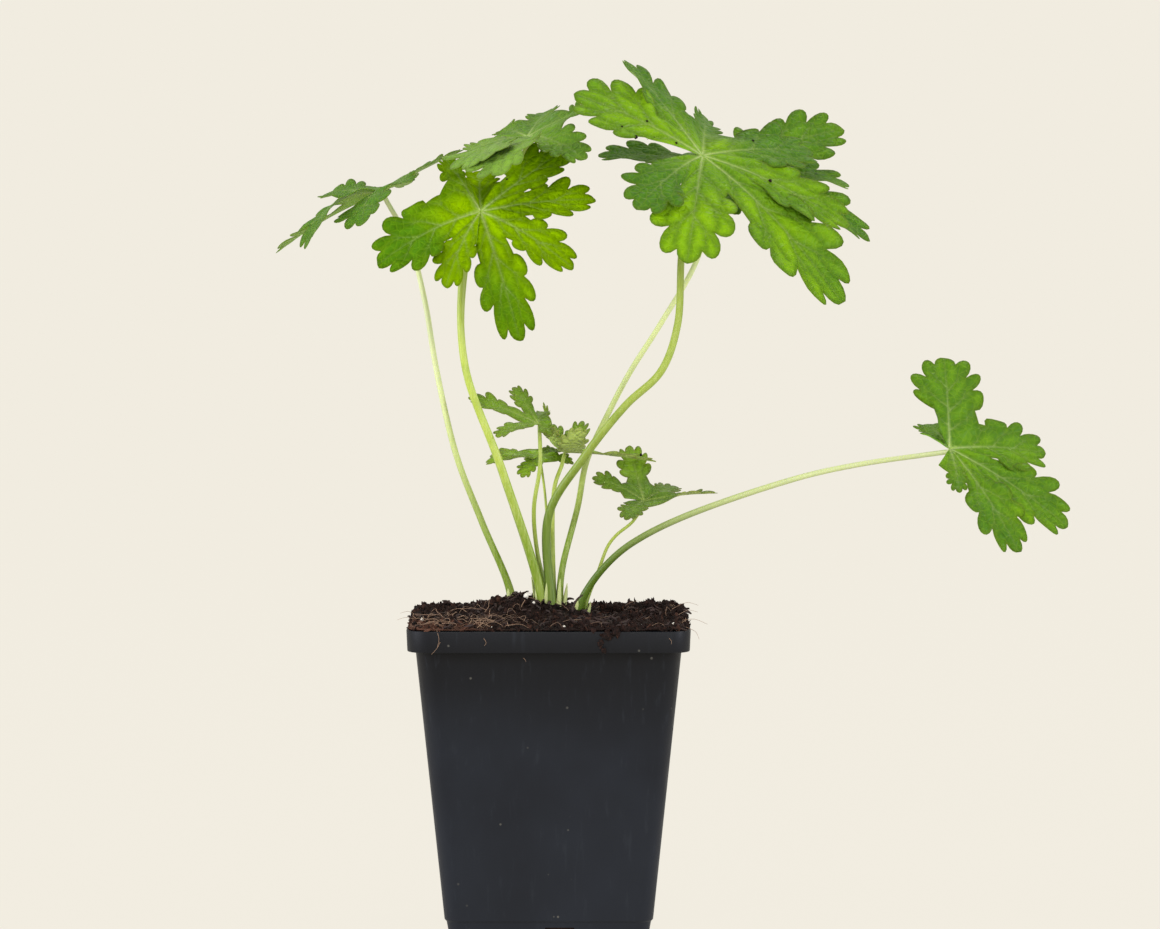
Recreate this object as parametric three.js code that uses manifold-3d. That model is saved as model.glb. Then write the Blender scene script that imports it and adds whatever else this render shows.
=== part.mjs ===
// A young hardy geranium in a square nursery pot: ten lobed leaves on long stalks over a short rhizome.
// Millimetres, +Z up, +Y to the back. The origin is the middle of the pot's underside.

import * as THREE from 'three';
import Module from 'manifold-3d';
import { mergeVertices } from 'three/addons/utils/BufferGeometryUtils.js';

const wasm = await Module();
wasm.setup();

// ---- Driving dimensions ----

const clearance = 0.3; // free gap between pieces that touch on the real plant

const pot = {
  height: 100,
  wall: 1.2,
  floor: 1.4,
  rimHalf: 45.5, // half the width across the rim
  rimDepth: 7, // height of the turned-down skirt
  rimStandOff: 2.2, // how far the skirt stands proud of the wall
  skirtDraft: 0.3, // how much narrower the skirt is at its lower edge
  baseHalf: 33.1,
  footHeight: 4.8, // below this line the wall steps in
  footStep: 0.6,
  cornerTop: 8,
  cornerBase: 5.5,
  slotWidth: 9.4,
  slotHeight: 3.2,
  slotShift: 3.5, // how far each drain slot lies to one side of the middle
  slotReach: 5, // how far each drain slot runs in under the floor
  chamfer: 0.7, // along the rim's top edge and the foot
};

const soil = {
  spill: 0.7, // how far the soil's edge stays in from the rim's edge
  skin: 0.6, // thickness of the soil that lies on the rim
  grain: 0.4, // height of the lumps
  edgeDrop: 0.2, // how much lower the soil's edge lies than the soil behind it
  // mounds: [x, y, height, radius]
  mounds: [[-12, 1, 6.6, 11], [3, 1, 3.8, 9], [35, 8, 2.8, 9], [-34, -8, 0.6, 14], [16, -24, 0.8, 10]],
};

const rootstock = {
  // centre line of the rhizome that the stalks grow from, and its radius along it
  path: [[-15, 4, 93], [-10, 2, 96], [-3, 1, 94.5], [4, 1, 93.5], [10, 2, 93], [14, 3, 91]],
  radius: 3.6,
  // roots: where each leaves the rhizome, and where it ends
  roots: [
    [[-12, 3, 93], [-24, 10, 70], [-22, 16, 34]],
    [[-6, 1, 92], [-10, -8, 66], [-16, -14, 20]],
    [[1, 1, 92], [3, 6, 60], [0, 12, 14]],
    [[7, 1, 91], [14, -6, 64], [18, -12, 26]],
    [[12, 3, 90], [22, 8, 72], [24, 14, 40]],
  ],
  rootRadius: 1.5,
};

const blade = {
  thickness: 0.7,
  sinus: 0.42, // how far out the lobes are joined, as a share of their length
  lobeHalf: 0.24, // half the width of a lobe, as a share of its length
  fold: 0.05, // how much a lobe's margins turn up, as a share of its length
  wave: 0.7, // height of the waves along the margin
  waveTurn: 0.45, // how fast the waves follow each other, in radians a millimetre
  petioleGap: 22, // degrees left open where the stalk comes in
  toothSteps: 2, // points along each tooth
};

// Each leaf: where its lobes meet, which way its face looks, and its lobes counter-clockwise from the stalk.
// A lobe: tip, arch (how far its midrib bows off the straight line), half (relative width), share of the
// circle in degrees, and roll (how far it is turned about its midrib, in degrees). A leaf's own petioleGap,
// sinus and toothSteps (points along a tooth) go before those of the blade.
const leaves = {
  a: {
    centre: [-55, 15, 239], normal: [-0.5, 0, 0.87],
    lobes: [
      { tip: [-60, -14, 229], arch: 6, half: 1.4 },
      { tip: [-44, -4, 243], arch: 3, half: 0.8 },
      { tip: [-28, 14, 253], arch: 1, half: 0.8 },
      { tip: [-46, 40, 242], arch: 2 },
      { tip: [-75, 42, 238], arch: 2, half: 0.8 },
      { tip: [-90, 18, 219], arch: 3 },
      { tip: [-79, -6, 221], arch: 12, half: 0.95 },
    ],
  },
  b: {
    centre: [-22, -14, 233], normal: [-0.1, -0.72, 0.7], petioleGap: 18, toothSteps: 3,
    lobes: [
      { tip: [-9, -32, 192], arch: 9, half: 0.8 },
      { tip: [8, -28, 215], arch: 6, half: 0.85 },
      { tip: [15, -14, 237], arch: 3, half: 0.9 },
      { tip: [7, -4, 254], arch: 2, half: 0.9 },
      { tip: [-23, 20, 246], arch: 4, half: 0.75 },
      { tip: [-34, 0, 250], arch: 3, half: 0.8, roll: 25 },
      { tip: [-55, -23, 216], arch: 6, half: 1.3, share: 60 },
      { tip: [-33, -30, 209], arch: 6, half: 0.9, share: 36 },
    ],
  },
  c: {
    centre: [49.5, -12, 251], normal: [0.1, -0.62, 0.78], petioleGap: 16, toothSteps: 3,
    lobes: [
      { tip: [28, -38, 234], arch: 6, half: 1.2, share: 50 },
      { tip: [44, -44, 217], arch: 8, half: 1.2, share: 56 },
      { tip: [94, -28, 204], arch: 9, half: 0.85 },
      { tip: [97, -12, 228], arch: 6, half: 0.75 },
      { tip: [86, 8, 252], arch: 4, half: 1.1 },
      { tip: [51, 22, 264], arch: 3, half: 0.6, roll: 35 },
      { tip: [25, 12, 282], arch: 2, half: 0.8, roll: 35 },
      { tip: [8, -8, 271], arch: 4, half: 1.2 },
    ],
  },
  d: {
    centre: [57, 16, 247], normal: [0, -0.4, 0.92],
    lobes: [
      { tip: [61, 0, 232], arch: 3 },
      { tip: [105, 10, 223], arch: 9, half: 0.7 },
      { tip: [99, 28, 241], arch: 5, half: 0.8 },
      { tip: [97, 34, 260], arch: 2, half: 1, roll: 25 },
      { tip: [74, 46, 258], arch: 3 },
      { tip: [40, 46, 250], arch: 4 },
      { tip: [16, 20, 251], arch: 4, half: 0.8 },
    ],
  },
  e: {
    centre: [-3.5, 3, 163.5], normal: [-0.25, -0.5, 0.83], petioleGap: 60, sinus: 0.36,
    lobes: [
      { tip: [1, -3, 160], arch: 0.5, half: 0.8 },
      { tip: [-2, 14, 167], arch: 2 },
      { tip: [-12, 14, 175], arch: 2, half: 0.7 },
      { tip: [-26.5, 4, 172], arch: 2, half: 0.6 },
      { tip: [-17, -10, 160], arch: 3, half: 0.9 },
    ],
  },
  f: {
    centre: [5, 11, 154], normal: [0.1, 0.1, 0.99],
    lobes: [
      { tip: [10, -5, 163], arch: -6 },
      { tip: [35, 7, 151], arch: 1, half: 0.5 },
      { tip: [11, 31, 163], arch: -4, half: 0.7 },
      { tip: [1, 29, 162], arch: -4, half: 0.9 },
      { tip: [-2, 17, 170], arch: -7, half: 0.4, share: 36 },
      { tip: [-0.5, 5, 163], arch: -3, half: 1.2 },
    ],
  },
  g: {
    centre: [-3, 14, 152], normal: [-0.05, -0.5, 0.86],
    lobes: [
      { tip: [-9, 3, 146], arch: 3 },
      { tip: [8, 16, 150], arch: 2, half: 0.8 },
      { tip: [3, 26, 154], arch: 1, half: 0.8 },
      { tip: [-21, 22, 150], arch: 3, half: 0.8 },
      { tip: [-16, 5, 153], arch: 2 },
    ],
  },
  h: {
    centre: [31, 6, 138], normal: [-0.1, -0.62, 0.78],
    lobes: [
      { tip: [25, -10, 133], arch: 3 },
      { tip: [55, 2, 141], arch: 2, half: 0.5, roll: -45 },
      { tip: [42, 18, 142], arch: 2, half: 1.1 },
      { tip: [26, 18, 155.5], arch: 0, half: 1 },
      { tip: [14, 2, 146], arch: 3, half: 0.8 },
    ],
  },
  i: {
    centre: [130, -8, 156], normal: [0.1, -0.75, 0.65], petioleGap: 30, toothSteps: 3,
    lobes: [
      { tip: [132, -26, 143], arch: 4, half: 0.7 },
      { tip: [151, -28, 124], arch: 6, half: 0.8 },
      { tip: [168, -14, 131], arch: 5, half: 0.9 },
      { tip: [162, 0, 154], arch: 4, half: 1.2 },
      { tip: [129, 6, 185], arch: 3, half: 1.5, share: 74 },
      { tip: [124, 12, 163], arch: 3, half: 1.1 },
    ],
  },
  j: {
    centre: [-7, -3, 257], normal: [-0.45, -0.3, 0.84], sinus: 0.56, petioleGap: 16,
    lobes: [
      { tip: [-26, -11, 252], arch: 3, half: 1.55 },
      { tip: [-26, -28, 247], arch: 6, half: 1.7 },
      { tip: [-15, -40, 245], arch: 7, half: 1.3 },
      { tip: [12, -28, 250], arch: 6, half: 0.9 },
      { tip: [14, -4, 267], arch: 1, half: 0.8 },
      { tip: [0, 20, 266], arch: 1, half: 0.9 },
      { tip: [-15, 13, 260], arch: 1, half: 1.1 },
    ],
  },
};

// Each stalk: radius at its foot and under its leaf, and the points that its centre line runs through.
const stalks = {
  a: {
    foot: 1.15, neck: 0.8,
    path: [
      [-12.4, 2, 98], [-12.6, 2, 108], [-21.9, 4, 131], [-30.4, 6, 153],
      [-37, 10, 181], [-41, 14, 204], [-46, 19, 222],
    ],
  },
  b: {
    foot: 1.5, neck: 1.05,
    path: [[-2.6, -1, 97], [-2.3, -1.4, 106], [-15.2, -8, 149], [-27, -9, 182], [-28.5, -7, 207], [-26, -6, 224]],
  },
  c: {
    foot: 1.5, neck: 1.05,
    path: [
      [1.1, -1.9, 96], [0.6, -1.9, 106], [-0.2, -4, 134], [11, -10, 153], [24.9, -14, 170.6],
      [36.2, -14, 181.5], [41.5, -12, 196], [43, -7, 220], [46, -5, 243],
    ],
  },
  d: {
    foot: 1.05, neck: 0.85,
    path: [
      [3.8, 0.9, 96], [3.4, 0.9, 106], [4.2, 2, 116], [9.3, 9, 136], [12.4, 17, 151],
      [20, 18, 167.5], [26.5, 15, 180], [36.3, 13, 195.6], [48, 13, 216], [54, 16, 236],
    ],
  },
  e: {
    foot: 0.75, neck: 0.65,
    path: [[-0.4, 1.5, 97], [-0.6, 1.5, 106], [-4, 2.4, 122], [-5, 0.4, 136], [-3, 0.4, 150]],
  },
  f: { foot: 0.8, neck: 0.65, path: [[1.6, 2, 96], [1.5, 2.1, 106], [1.6, 6, 142], [4.2, 10, 150]] },
  g: { foot: 0.45, neck: 0.4, path: [[0.2, 3.9, 96], [0.2, 3.9, 106], [-1.2, 6.8, 138]] },
  h: {
    foot: 0.6, neck: 0.5,
    path: [
      [11, 3.6, 95], [12, 3.6, 104.5], [16, 5, 115],
      [19.2, 5.4, 123.4], [22, 5.4, 127], [27.4, 6.4, 131.4],
    ],
  },
  i: {
    foot: 1.2, neck: 0.8,
    path: [
      [6.8, 0, 95], [9, 0, 102.5], [14, -1, 112], [21.8, -3, 121], [30, -5, 127],
      [45.5, -7, 134.6], [81.5, -8, 146.8], [101, -7, 151], [120, -4.5, 153.6],
    ],
  },
  j: {
    foot: 0.9, neck: 0.75,
    path: [
      [-3, 2.2, 97], [-3, 2.2, 106], [-16, -2.5, 149], [-27, -3, 181],
      [-28, 4, 207], [-24, 8, 226], [-14, 9, 238], [-10, 5, 248],
    ],
  },
};

const colours = {
  pot: 0x2a2c30,
  soil: 0x2a1e18,
  rootstock: 0x7a6248,
  stalk: 0xa9b85a,
  youngBlade: 0x5d7a30,
  blade: 0x69902a,
};

// ---- Small helpers ----

const vector = ([x, y, z]) => new THREE.Vector3(x, y, z);
const mix = THREE.MathUtils.lerp;
const smooth = (x) => THREE.MathUtils.smoothstep(x, 0, 1);

// A repeatable scatter between -1 and 1 for the number n.
const scatter = (n) => (Math.abs(Math.sin(n * 12.9898 + 4.1) * 43758.5453) % 1) * 2 - 1;

function geometryFrom(points, triangles) {
  const geometry = new THREE.BufferGeometry();
  const numbers = points.flatMap((p) => [p.x, p.y, p.z]);
  geometry.setAttribute('position', new THREE.Float32BufferAttribute(numbers, 3));
  geometry.setIndex(triangles.flat());
  return geometry;
}

// A closed body through rings that all have the same number of points, each end closed by a fan.
function loft(rings) {
  const count = rings[0].length;
  const points = rings.flat();
  const triangles = [];
  for (let ring = 0; ring + 1 < rings.length; ring += 1) {
    for (let i = 0; i < count; i += 1) {
      const a = ring * count + i;
      const b = ring * count + (i + 1) % count;
      triangles.push([a, b, b + count], [a, b + count, a + count]);
    }
  }
  const middle = (ring) => ring.reduce((sum, p) => sum.add(p), new THREE.Vector3()).divideScalar(count);
  const last = (rings.length - 1) * count;
  points.push(middle(rings[0]), middle(rings.at(-1)));
  for (let i = 0; i < count; i += 1) {
    const next = (i + 1) % count;
    triangles.push([next, i, points.length - 2], [last + i, last + next, points.length - 1]);
  }
  return geometryFrom(points, triangles);
}

// A ring of points around a square with round corners, counter-clockwise seen from above.
function squareRing(half, radius, z, sideSteps = 1, cornerSteps = 4) {
  const ring = [];
  for (let corner = 0; corner < 4; corner += 1) {
    const turn = corner * Math.PI / 2;
    const straight = half - radius;
    for (let i = 0; i < sideSteps - 1; i += 1) {
      const along = mix(-straight, straight, (i + 1) / sideSteps);
      const x = half * Math.cos(turn) - along * Math.sin(turn);
      const y = half * Math.sin(turn) + along * Math.cos(turn);
      ring.push(new THREE.Vector3(x, y, z));
    }
    for (let i = 0; i <= cornerSteps; i += 1) {
      const angle = turn + (i / cornerSteps) * Math.PI / 2;
      const cx = straight * Math.SQRT2 * Math.cos(turn + Math.PI / 4);
      const cy = straight * Math.SQRT2 * Math.sin(turn + Math.PI / 4);
      ring.push(new THREE.Vector3(cx + radius * Math.cos(angle), cy + radius * Math.sin(angle), z));
    }
  }
  return ring;
}

// Rings around a smooth curve through the points, swollen by grow on all sides and at both ends.
function tubeRings(path, radiusAt, sides, steps, grow = 0) {
  const curve = new THREE.CatmullRomCurve3(path, false, 'centripetal');
  const frames = curve.computeFrenetFrames(steps, false);
  const rings = [];
  for (let i = 0; i <= steps; i += 1) {
    const radius = radiusAt(i / steps) + grow;
    const beyond = i === 0 ? -grow : i === steps ? grow : 0;
    const centre = curve.getPointAt(i / steps).addScaledVector(frames.tangents[i], beyond);
    const ring = [];
    for (let side = 0; side < sides; side += 1) {
      const angle = side / sides * Math.PI * 2;
      ring.push(centre.clone()
        .addScaledVector(frames.normals[i], Math.cos(angle) * radius)
        .addScaledVector(frames.binormals[i], Math.sin(angle) * radius));
    }
    rings.push(ring);
  }
  return rings;
}

const taperedTube = (...shape) => loft(tubeRings(...shape));

function toSolid(geometry) {
  const bare = geometry.index ? geometry.clone() : geometry.toNonIndexed();
  bare.deleteAttribute('normal');
  bare.deleteAttribute('uv');
  const merged = mergeVertices(bare, 1e-4);
  return new wasm.Manifold(new wasm.Mesh({
    numProp: 3,
    vertProperties: new Float32Array(merged.attributes.position.array),
    triVerts: new Uint32Array(merged.index.array),
  }));
}

function fromSolid(solid) {
  const mesh = solid.getMesh();
  const geometry = new THREE.BufferGeometry();
  geometry.setAttribute('position', new THREE.BufferAttribute(new Float32Array(mesh.vertProperties), 3));
  geometry.setIndex(new THREE.BufferAttribute(new Uint32Array(mesh.triVerts), 1));
  return geometry;
}

// ---- Pot ----

const wallAt = (z) => mix(pot.baseHalf, pot.rimHalf - pot.rimStandOff, z / pot.height);
const cornerAt = (z) => mix(pot.cornerBase, pot.cornerTop, z / pot.height);

// A ring at a height whose corners follow those of the wall.
function potRing(half, z, sideSteps, cornerSteps) {
  const growth = half - wallAt(z);
  return squareRing(half, cornerAt(z) + (growth > 0 ? 0.3 * growth : growth), z, sideSteps, cornerSteps);
}

function potGeometry() {
  const { height, wall, rimHalf, rimDepth, skirtDraft, footHeight, footStep, chamfer } = pot;
  const skirt = height - rimDepth;
  // profile of half width and height, from the middle of the underside out, up, over the rim and down inside
  const profile = [
    [wallAt(0) - footStep - chamfer, 0],
    [wallAt(0) - footStep, chamfer],
    [wallAt(footHeight) - footStep, footHeight],
    [wallAt(footHeight + footStep), footHeight + footStep],
    [wallAt(height - wall), height - wall],
    [rimHalf - wall, height - wall],
    [rimHalf - wall - skirtDraft, skirt],
    [rimHalf - skirtDraft, skirt],
    [rimHalf, height - chamfer],
    [rimHalf - chamfer, height],
    [wallAt(height) - wall + chamfer, height],
    [wallAt(height) - wall, height - chamfer],
    [wallAt(footHeight + footStep) - wall, footHeight + footStep],
    [wallAt(footHeight) - footStep - wall, footHeight],
    [wallAt(pot.floor) - footStep - wall, pot.floor],
  ];
  let solid = toSolid(loft(profile.map(([half, z]) => potRing(half, z))));
  const slot = new THREE.BoxGeometry(pot.slotWidth, pot.slotReach * 2, pot.slotHeight * 2);
  for (let side = 0; side < 4; side += 1) {
    const angle = side * Math.PI / 2;
    const cutter = slot.clone().translate(pot.slotShift, -pot.baseHalf, 0).rotateZ(angle);
    solid = solid.subtract(toSolid(cutter));
  }
  return fromSolid(solid);
}

// ---- Soil ----

function soilHeight(x, y) {
  let mound = 0;
  for (const [cx, cy, height, radius] of soil.mounds) {
    mound += height * Math.exp(-((x - cx) ** 2 + (y - cy) ** 2) / radius ** 2);
  }
  const lumps = Math.sin(x * 0.62 + 1.3 * Math.sin(y * 0.31)) * Math.sin(y * 0.55 + 1.1 * Math.sin(x * 0.27));
  return pot.height + clearance + soil.skin + mound + soil.grain * lumps;
}

function soilGeometry() {
  const sideSteps = 4;
  const cornerSteps = 2;
  const bed = (z, inset = 0) => potRing(wallAt(z) - pot.wall - clearance - inset, z, sideSteps, cornerSteps);
  const edge = pot.rimHalf - soil.spill;
  const seat = pot.height + clearance; // the soil that spills over lies just above the rim
  const rings = [
    bed(pot.floor + clearance, pot.footStep),
    bed(pot.footHeight, pot.footStep),
    bed(pot.footHeight + 1.4),
    bed(pot.height - 1),
    potRing(wallAt(pot.height - 1) - pot.wall - clearance, seat, sideSteps, cornerSteps),
    potRing(edge - 0.5, seat, sideSteps, cornerSteps),
  ];
  for (const share of [1, 0.88, 0.74, 0.6, 0.46, 0.32, 0.18]) {
    const ring = squareRing(edge * share, 8 * share, 0, sideSteps, cornerSteps);
    for (const point of ring) point.z = soilHeight(point.x, point.y) - (share === 1 ? soil.edgeDrop : 0);
    rings.push(ring);
  }
  return loft(rings);
}

// ---- Rhizome and roots ----

// The rhizome with its roots, swollen by grow.
function rootstockSolid(grow) {
  const knobbly = (t) => rootstock.radius * (0.62 + 0.38 * Math.sin(Math.PI * t) + 0.07 * Math.sin(t * 34));
  let solid = toSolid(taperedTube(rootstock.path.map(vector), knobbly, 8, 9, grow));
  const rootAt = (t) => mix(rootstock.rootRadius, 0.5, t);
  for (const root of rootstock.roots) {
    solid = solid.add(toSolid(taperedTube(root.map(vector), rootAt, 5, 3, grow)));
  }
  return solid;
}

// ---- Stalks ----

const stalkSides = 7;
const stalkStep = 11; // length of one step along a stalk
const flare = { share: 0.08, height: 6 }; // how much a stalk widens at its foot, and over what height

// Where a stalk ends: just under the middle of its leaf.
function neckPoint(name) {
  const { centre, normal } = leaves[name];
  const drop = blade.thickness / 2 + clearance + stalks[name].neck * 0.9;
  return vector(centre).addScaledVector(vector(normal).normalize(), -drop);
}

// The rings of points that a stalk is skinned over, swollen by grow.
function stalkRings(name, grow = 0) {
  const { foot, neck, path } = stalks[name];
  const line = [...path.map(vector), neckPoint(name)];
  const length = new THREE.CatmullRomCurve3(line, false, 'centripetal').getLength();
  const steps = Math.max(8, Math.round(length / stalkStep));
  const radiusAt = (t) => mix(foot, neck, t) * (1 + flare.share * Math.exp(-t * length / flare.height));
  return tubeRings(line, radiusAt, stalkSides, steps, grow);
}

// ---- Leaf blades ----

// Teeth on half a lobe, from its side to its tip: the valley before each tooth and its crest, as shares
// [along the midrib, across of the half width]. The last crest is the tip.
const toothValleys = [[0.44, 0.66], [0.61, 0.76], [0.76, 0.56], [0.91, 0.3]];
const toothCrests = [[0.54, 1], [0.76, 1.04], [0.93, 0.66], [1, 0]];
const toothScatter = { along: 0.012, across: 0.07 }; // how unequal the teeth are
const notchRun = 0.03; // the least share of a lobe's length from its notch to its first valley

// Half of a lobe's outline in shares of its length, as stretches of [along, across]: from the notch beside it
// to the first valley, and then a stretch for each tooth.
function lobeOutline(sinusPoint, half, side, seed, toothSteps) {
  const squeeze = toothSqueeze(sinusPoint, half);
  const place = ([along, across], k) => [
    1 - (1 - along) * squeeze + toothScatter.along * scatter(seed + k),
    across * half * (1 + toothScatter.across * scatter(seed + 9 + k)) * side,
  ];
  const valleys = toothValleys.map((valley, k) => place(valley, k));
  const crests = toothCrests.map((crest, k) => place(crest, k + 4));
  const mirrored = [valleys.at(-1)[0], -valleys.at(-1)[1]];
  const stretches = [[[sinusPoint[0], sinusPoint[1] * side], valleys[0]]];
  for (let k = 0; k < valleys.length; k += 1) {
    const from = valleys[k];
    const to = valleys[k + 1] ?? mirrored;
    const stretch = [from];
    const rise = crests[k].map((value, axis) => (value - (from[axis] + to[axis]) / 2) * 4 / 3);
    const isTip = k === valleys.length - 1;
    for (let step = 1; step <= toothSteps; step += 1) {
      const t = step / (toothSteps + 1);
      if (isTip && t > 0.45) break;
      const alongEdge = 3 * t * t - 2 * t * t * t;
      const bulge = 3 * t * (1 - t);
      stretch.push(from.map((value, axis) => mix(value, to[axis], alongEdge) + bulge * rise[axis]));
    }
    stretches.push([...stretch, isTip ? [1, 0] : to]);
  }
  return stretches;
}

// How much shorter the toothed part of a lobe is, where its first valley would lie within the joined part.
function toothSqueeze(sinusPoint, half) {
  const [start, width] = toothValleys[0];
  const joined = Math.sqrt(Math.max(0, Math.hypot(...sinusPoint) ** 2 - (width * half) ** 2));
  return Math.min(1, (1 - Math.max(joined, sinusPoint[0]) - notchRun) / (1 - start));
}

// Triangles that fill a flat outline of [place, point number].
function fillCell(outline) {
  const flat = outline.map(([[x, y]]) => new THREE.Vector2(x, y));
  return THREE.ShapeUtils.triangulateShape(flat, []).map(([a, b, c]) => {
    const turnsLeft = THREE.ShapeUtils.area([flat[a], flat[b], flat[c]]) > 0;
    return (turnsLeft ? [a, b, c] : [a, c, b]).map((k) => outline[k][1]);
  });
}

// The mid-surface of a leaf: its points, and for each lobe its triangles, facing the way of its normal.
function leafSurface(name) {
  const leaf = leaves[name];
  const centre = vector(leaf.centre);
  const normal = vector(leaf.normal).normalize();
  const gap = leaf.petioleGap ?? blade.petioleGap;
  const fixedShare = leaf.lobes.reduce((sum, lobe) => sum + (lobe.share ?? 0), 0);
  const freeLobes = leaf.lobes.filter((lobe) => !lobe.share).length;
  const lobes = leaf.lobes.map((lobe, i) => {
    const tip = vector(lobe.tip);
    const chord = tip.clone().sub(centre);
    const outward = chord.clone().addScaledVector(normal, -chord.dot(normal)).normalize();
    const roll = THREE.MathUtils.degToRad(lobe.roll ?? 0);
    return {
      tip,
      length: chord.length(),
      bend: centre.clone().addScaledVector(chord, 0.5).addScaledVector(normal, lobe.arch),
      across: normal.clone().cross(outward),
      rolled: normal.clone().cross(outward).applyAxisAngle(chord.clone().normalize(), roll),
      spread: THREE.MathUtils.degToRad(lobe.share ?? (360 - gap - fixedShare) / freeLobes) / 2,
      half: blade.lobeHalf * (lobe.half ?? 1),
      seed: name.charCodeAt(0) * 7 + i * 31,
    };
  });
  const meanLength = lobes.reduce((sum, lobe) => sum + lobe.length, 0) / lobes.length;
  const sinus = (leaf.sinus ?? blade.sinus) * meanLength;

  // A lobe's own surface, at a distance along its midrib and across it.
  function onLobe(lobe, along, across) {
    const t = along / lobe.length;
    const midrib = centre.clone().multiplyScalar((1 - t) ** 2)
      .addScaledVector(lobe.bend, 2 * t * (1 - t)).addScaledVector(lobe.tip, t * t);
    const direction = lobe.bend.clone().sub(centre).multiplyScalar(1 - t)
      .addScaledVector(lobe.tip.clone().sub(lobe.bend), t).normalize();
    const sideways = lobe.across.clone().lerp(lobe.rolled, smooth(t * 2 - 0.4)).normalize();
    const up = direction.cross(sideways).normalize();
    const edge = across / (lobe.half * lobe.length);
    const wave = blade.wave * edge * t * Math.sin(along * blade.waveTurn + lobe.seed);
    const lift = blade.fold * lobe.length * edge * edge * t + wave;
    return midrib.addScaledVector(sideways, across).addScaledVector(up, lift);
  }

  // The leaf's surface: beside the line between two lobes, a blend of both.
  function onLeaf(i, radius, angle) {
    const lobe = lobes[i];
    const neighbour = lobes[angle > 0 ? i + 1 : i - 1];
    const own = onLobe(lobe, radius * Math.cos(angle), radius * Math.sin(angle));
    if (!neighbour) return own;
    const turned = angle - Math.sign(angle) * (lobe.spread + neighbour.spread);
    const other = onLobe(neighbour, radius * Math.cos(turned), radius * Math.sin(turned));
    const weight = 0.5 * (angle / lobe.spread) ** 2 * (1 - smooth((radius / sinus - 1) / 0.6));
    return own.lerp(other, Math.min(weight, 0.5));
  }

  const points = [centre];

  // Triangles between two rows of points, each an array of [share of the row, point number].
  function stitch(inner, outer) {
    const triangles = [];
    let i = 0;
    let o = 0;
    while (i + 1 < inner.length || o + 1 < outer.length) {
      const stepOuter = i + 1 >= inner.length
        || (o + 1 < outer.length && outer[o + 1][0] + outer[o][0] <= inner[i + 1][0] + inner[i][0]);
      const corners = stepOuter
        ? [inner[i][1], outer[o][1], outer[o + 1][1]]
        : [inner[i][1], outer[o][1], inner[i + 1][1]];
      if (new Set(corners).size === 3) triangles.push(corners);
      if (stepOuter) o += 1;
      else i += 1;
    }
    return triangles;
  }

  const innerRows = [{ share: 0.5, steps: 4 }, { share: 1, steps: 6 }];
  let shared = innerRows.map(() => null);
  const patches = lobes.map((lobe, i) => {
    const addPoint = (radius, angle) => points.push(onLeaf(i, radius, angle)) - 1;
    const rows = innerRows.map(({ share, steps }, k) => {
      const row = [];
      for (let j = 0; j <= steps; j += 1) {
        const angle = mix(-lobe.spread, lobe.spread, j / steps);
        const number = j === 0 && shared[k] !== null ? shared[k] : addPoint(sinus * share, angle);
        row.push([j / steps, number]);
      }
      return row;
    });
    shared = rows.map((row) => row.at(-1)[1]);

    // Beyond the arc where the lobes are joined, each half of the lobe is cut into a cell a stretch between
    // its midrib and its outline.
    const reach = sinus / lobe.length;
    const notch = [Math.cos(lobe.spread) * reach, Math.sin(lobe.spread) * reach];
    const toothSteps = leaf.toothSteps ?? blade.toothSteps;
    const squeeze = toothSqueeze(notch, lobe.half);
    const numbers = new Map();
    const numberOf = ([x, y]) => {
      const key = `${x} ${y}`;
      const px = x * lobe.length;
      const py = y * lobe.length;
      if (!numbers.has(key)) numbers.set(key, addPoint(Math.hypot(px, py), Math.atan2(py, px)));
      return numbers.get(key);
    };
    const midrib = toothValleys.map(([along], k) => [
      Math.max(1 - (1 - along) * squeeze, reach + (k + 1) * notchRun / 2), 0,
    ]);
    const halves = [-1, 1].flatMap((side) => {
      const stretches = lobeOutline(notch, lobe.half, side, lobe.seed + (side > 0 ? 5 : 0), toothSteps);
      const arc = rows[1].slice(0, innerRows[1].steps / 2 + 1).map(([share, number], j) => {
        const angle = mix(-lobe.spread, lobe.spread, share);
        const place = [Math.cos(angle) * reach, Math.sin(angle) * reach * -side];
        return [place, side < 0 ? number : rows[1][innerRows[1].steps - j][1]];
      });
      return stretches.flatMap((stretch, k) => {
        const outer = stretch.map((place, j) => [place, k === 0 && j === 0 ? arc[0][1] : numberOf(place)]);
        const inner = k === 0 ? arc.slice(1).reverse() : [[midrib[k - 1], numberOf(midrib[k - 1])]];
        const far = k < midrib.length ? [[midrib[k], numberOf(midrib[k])]] : [];
        return fillCell([...outer, ...far, ...inner]);
      });
    });
    return [...stitch([[0, 0], [1, 0]], rows[0]), ...stitch(rows[0], rows[1]), ...halves];
  });
  return { points, patches };
}

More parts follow.
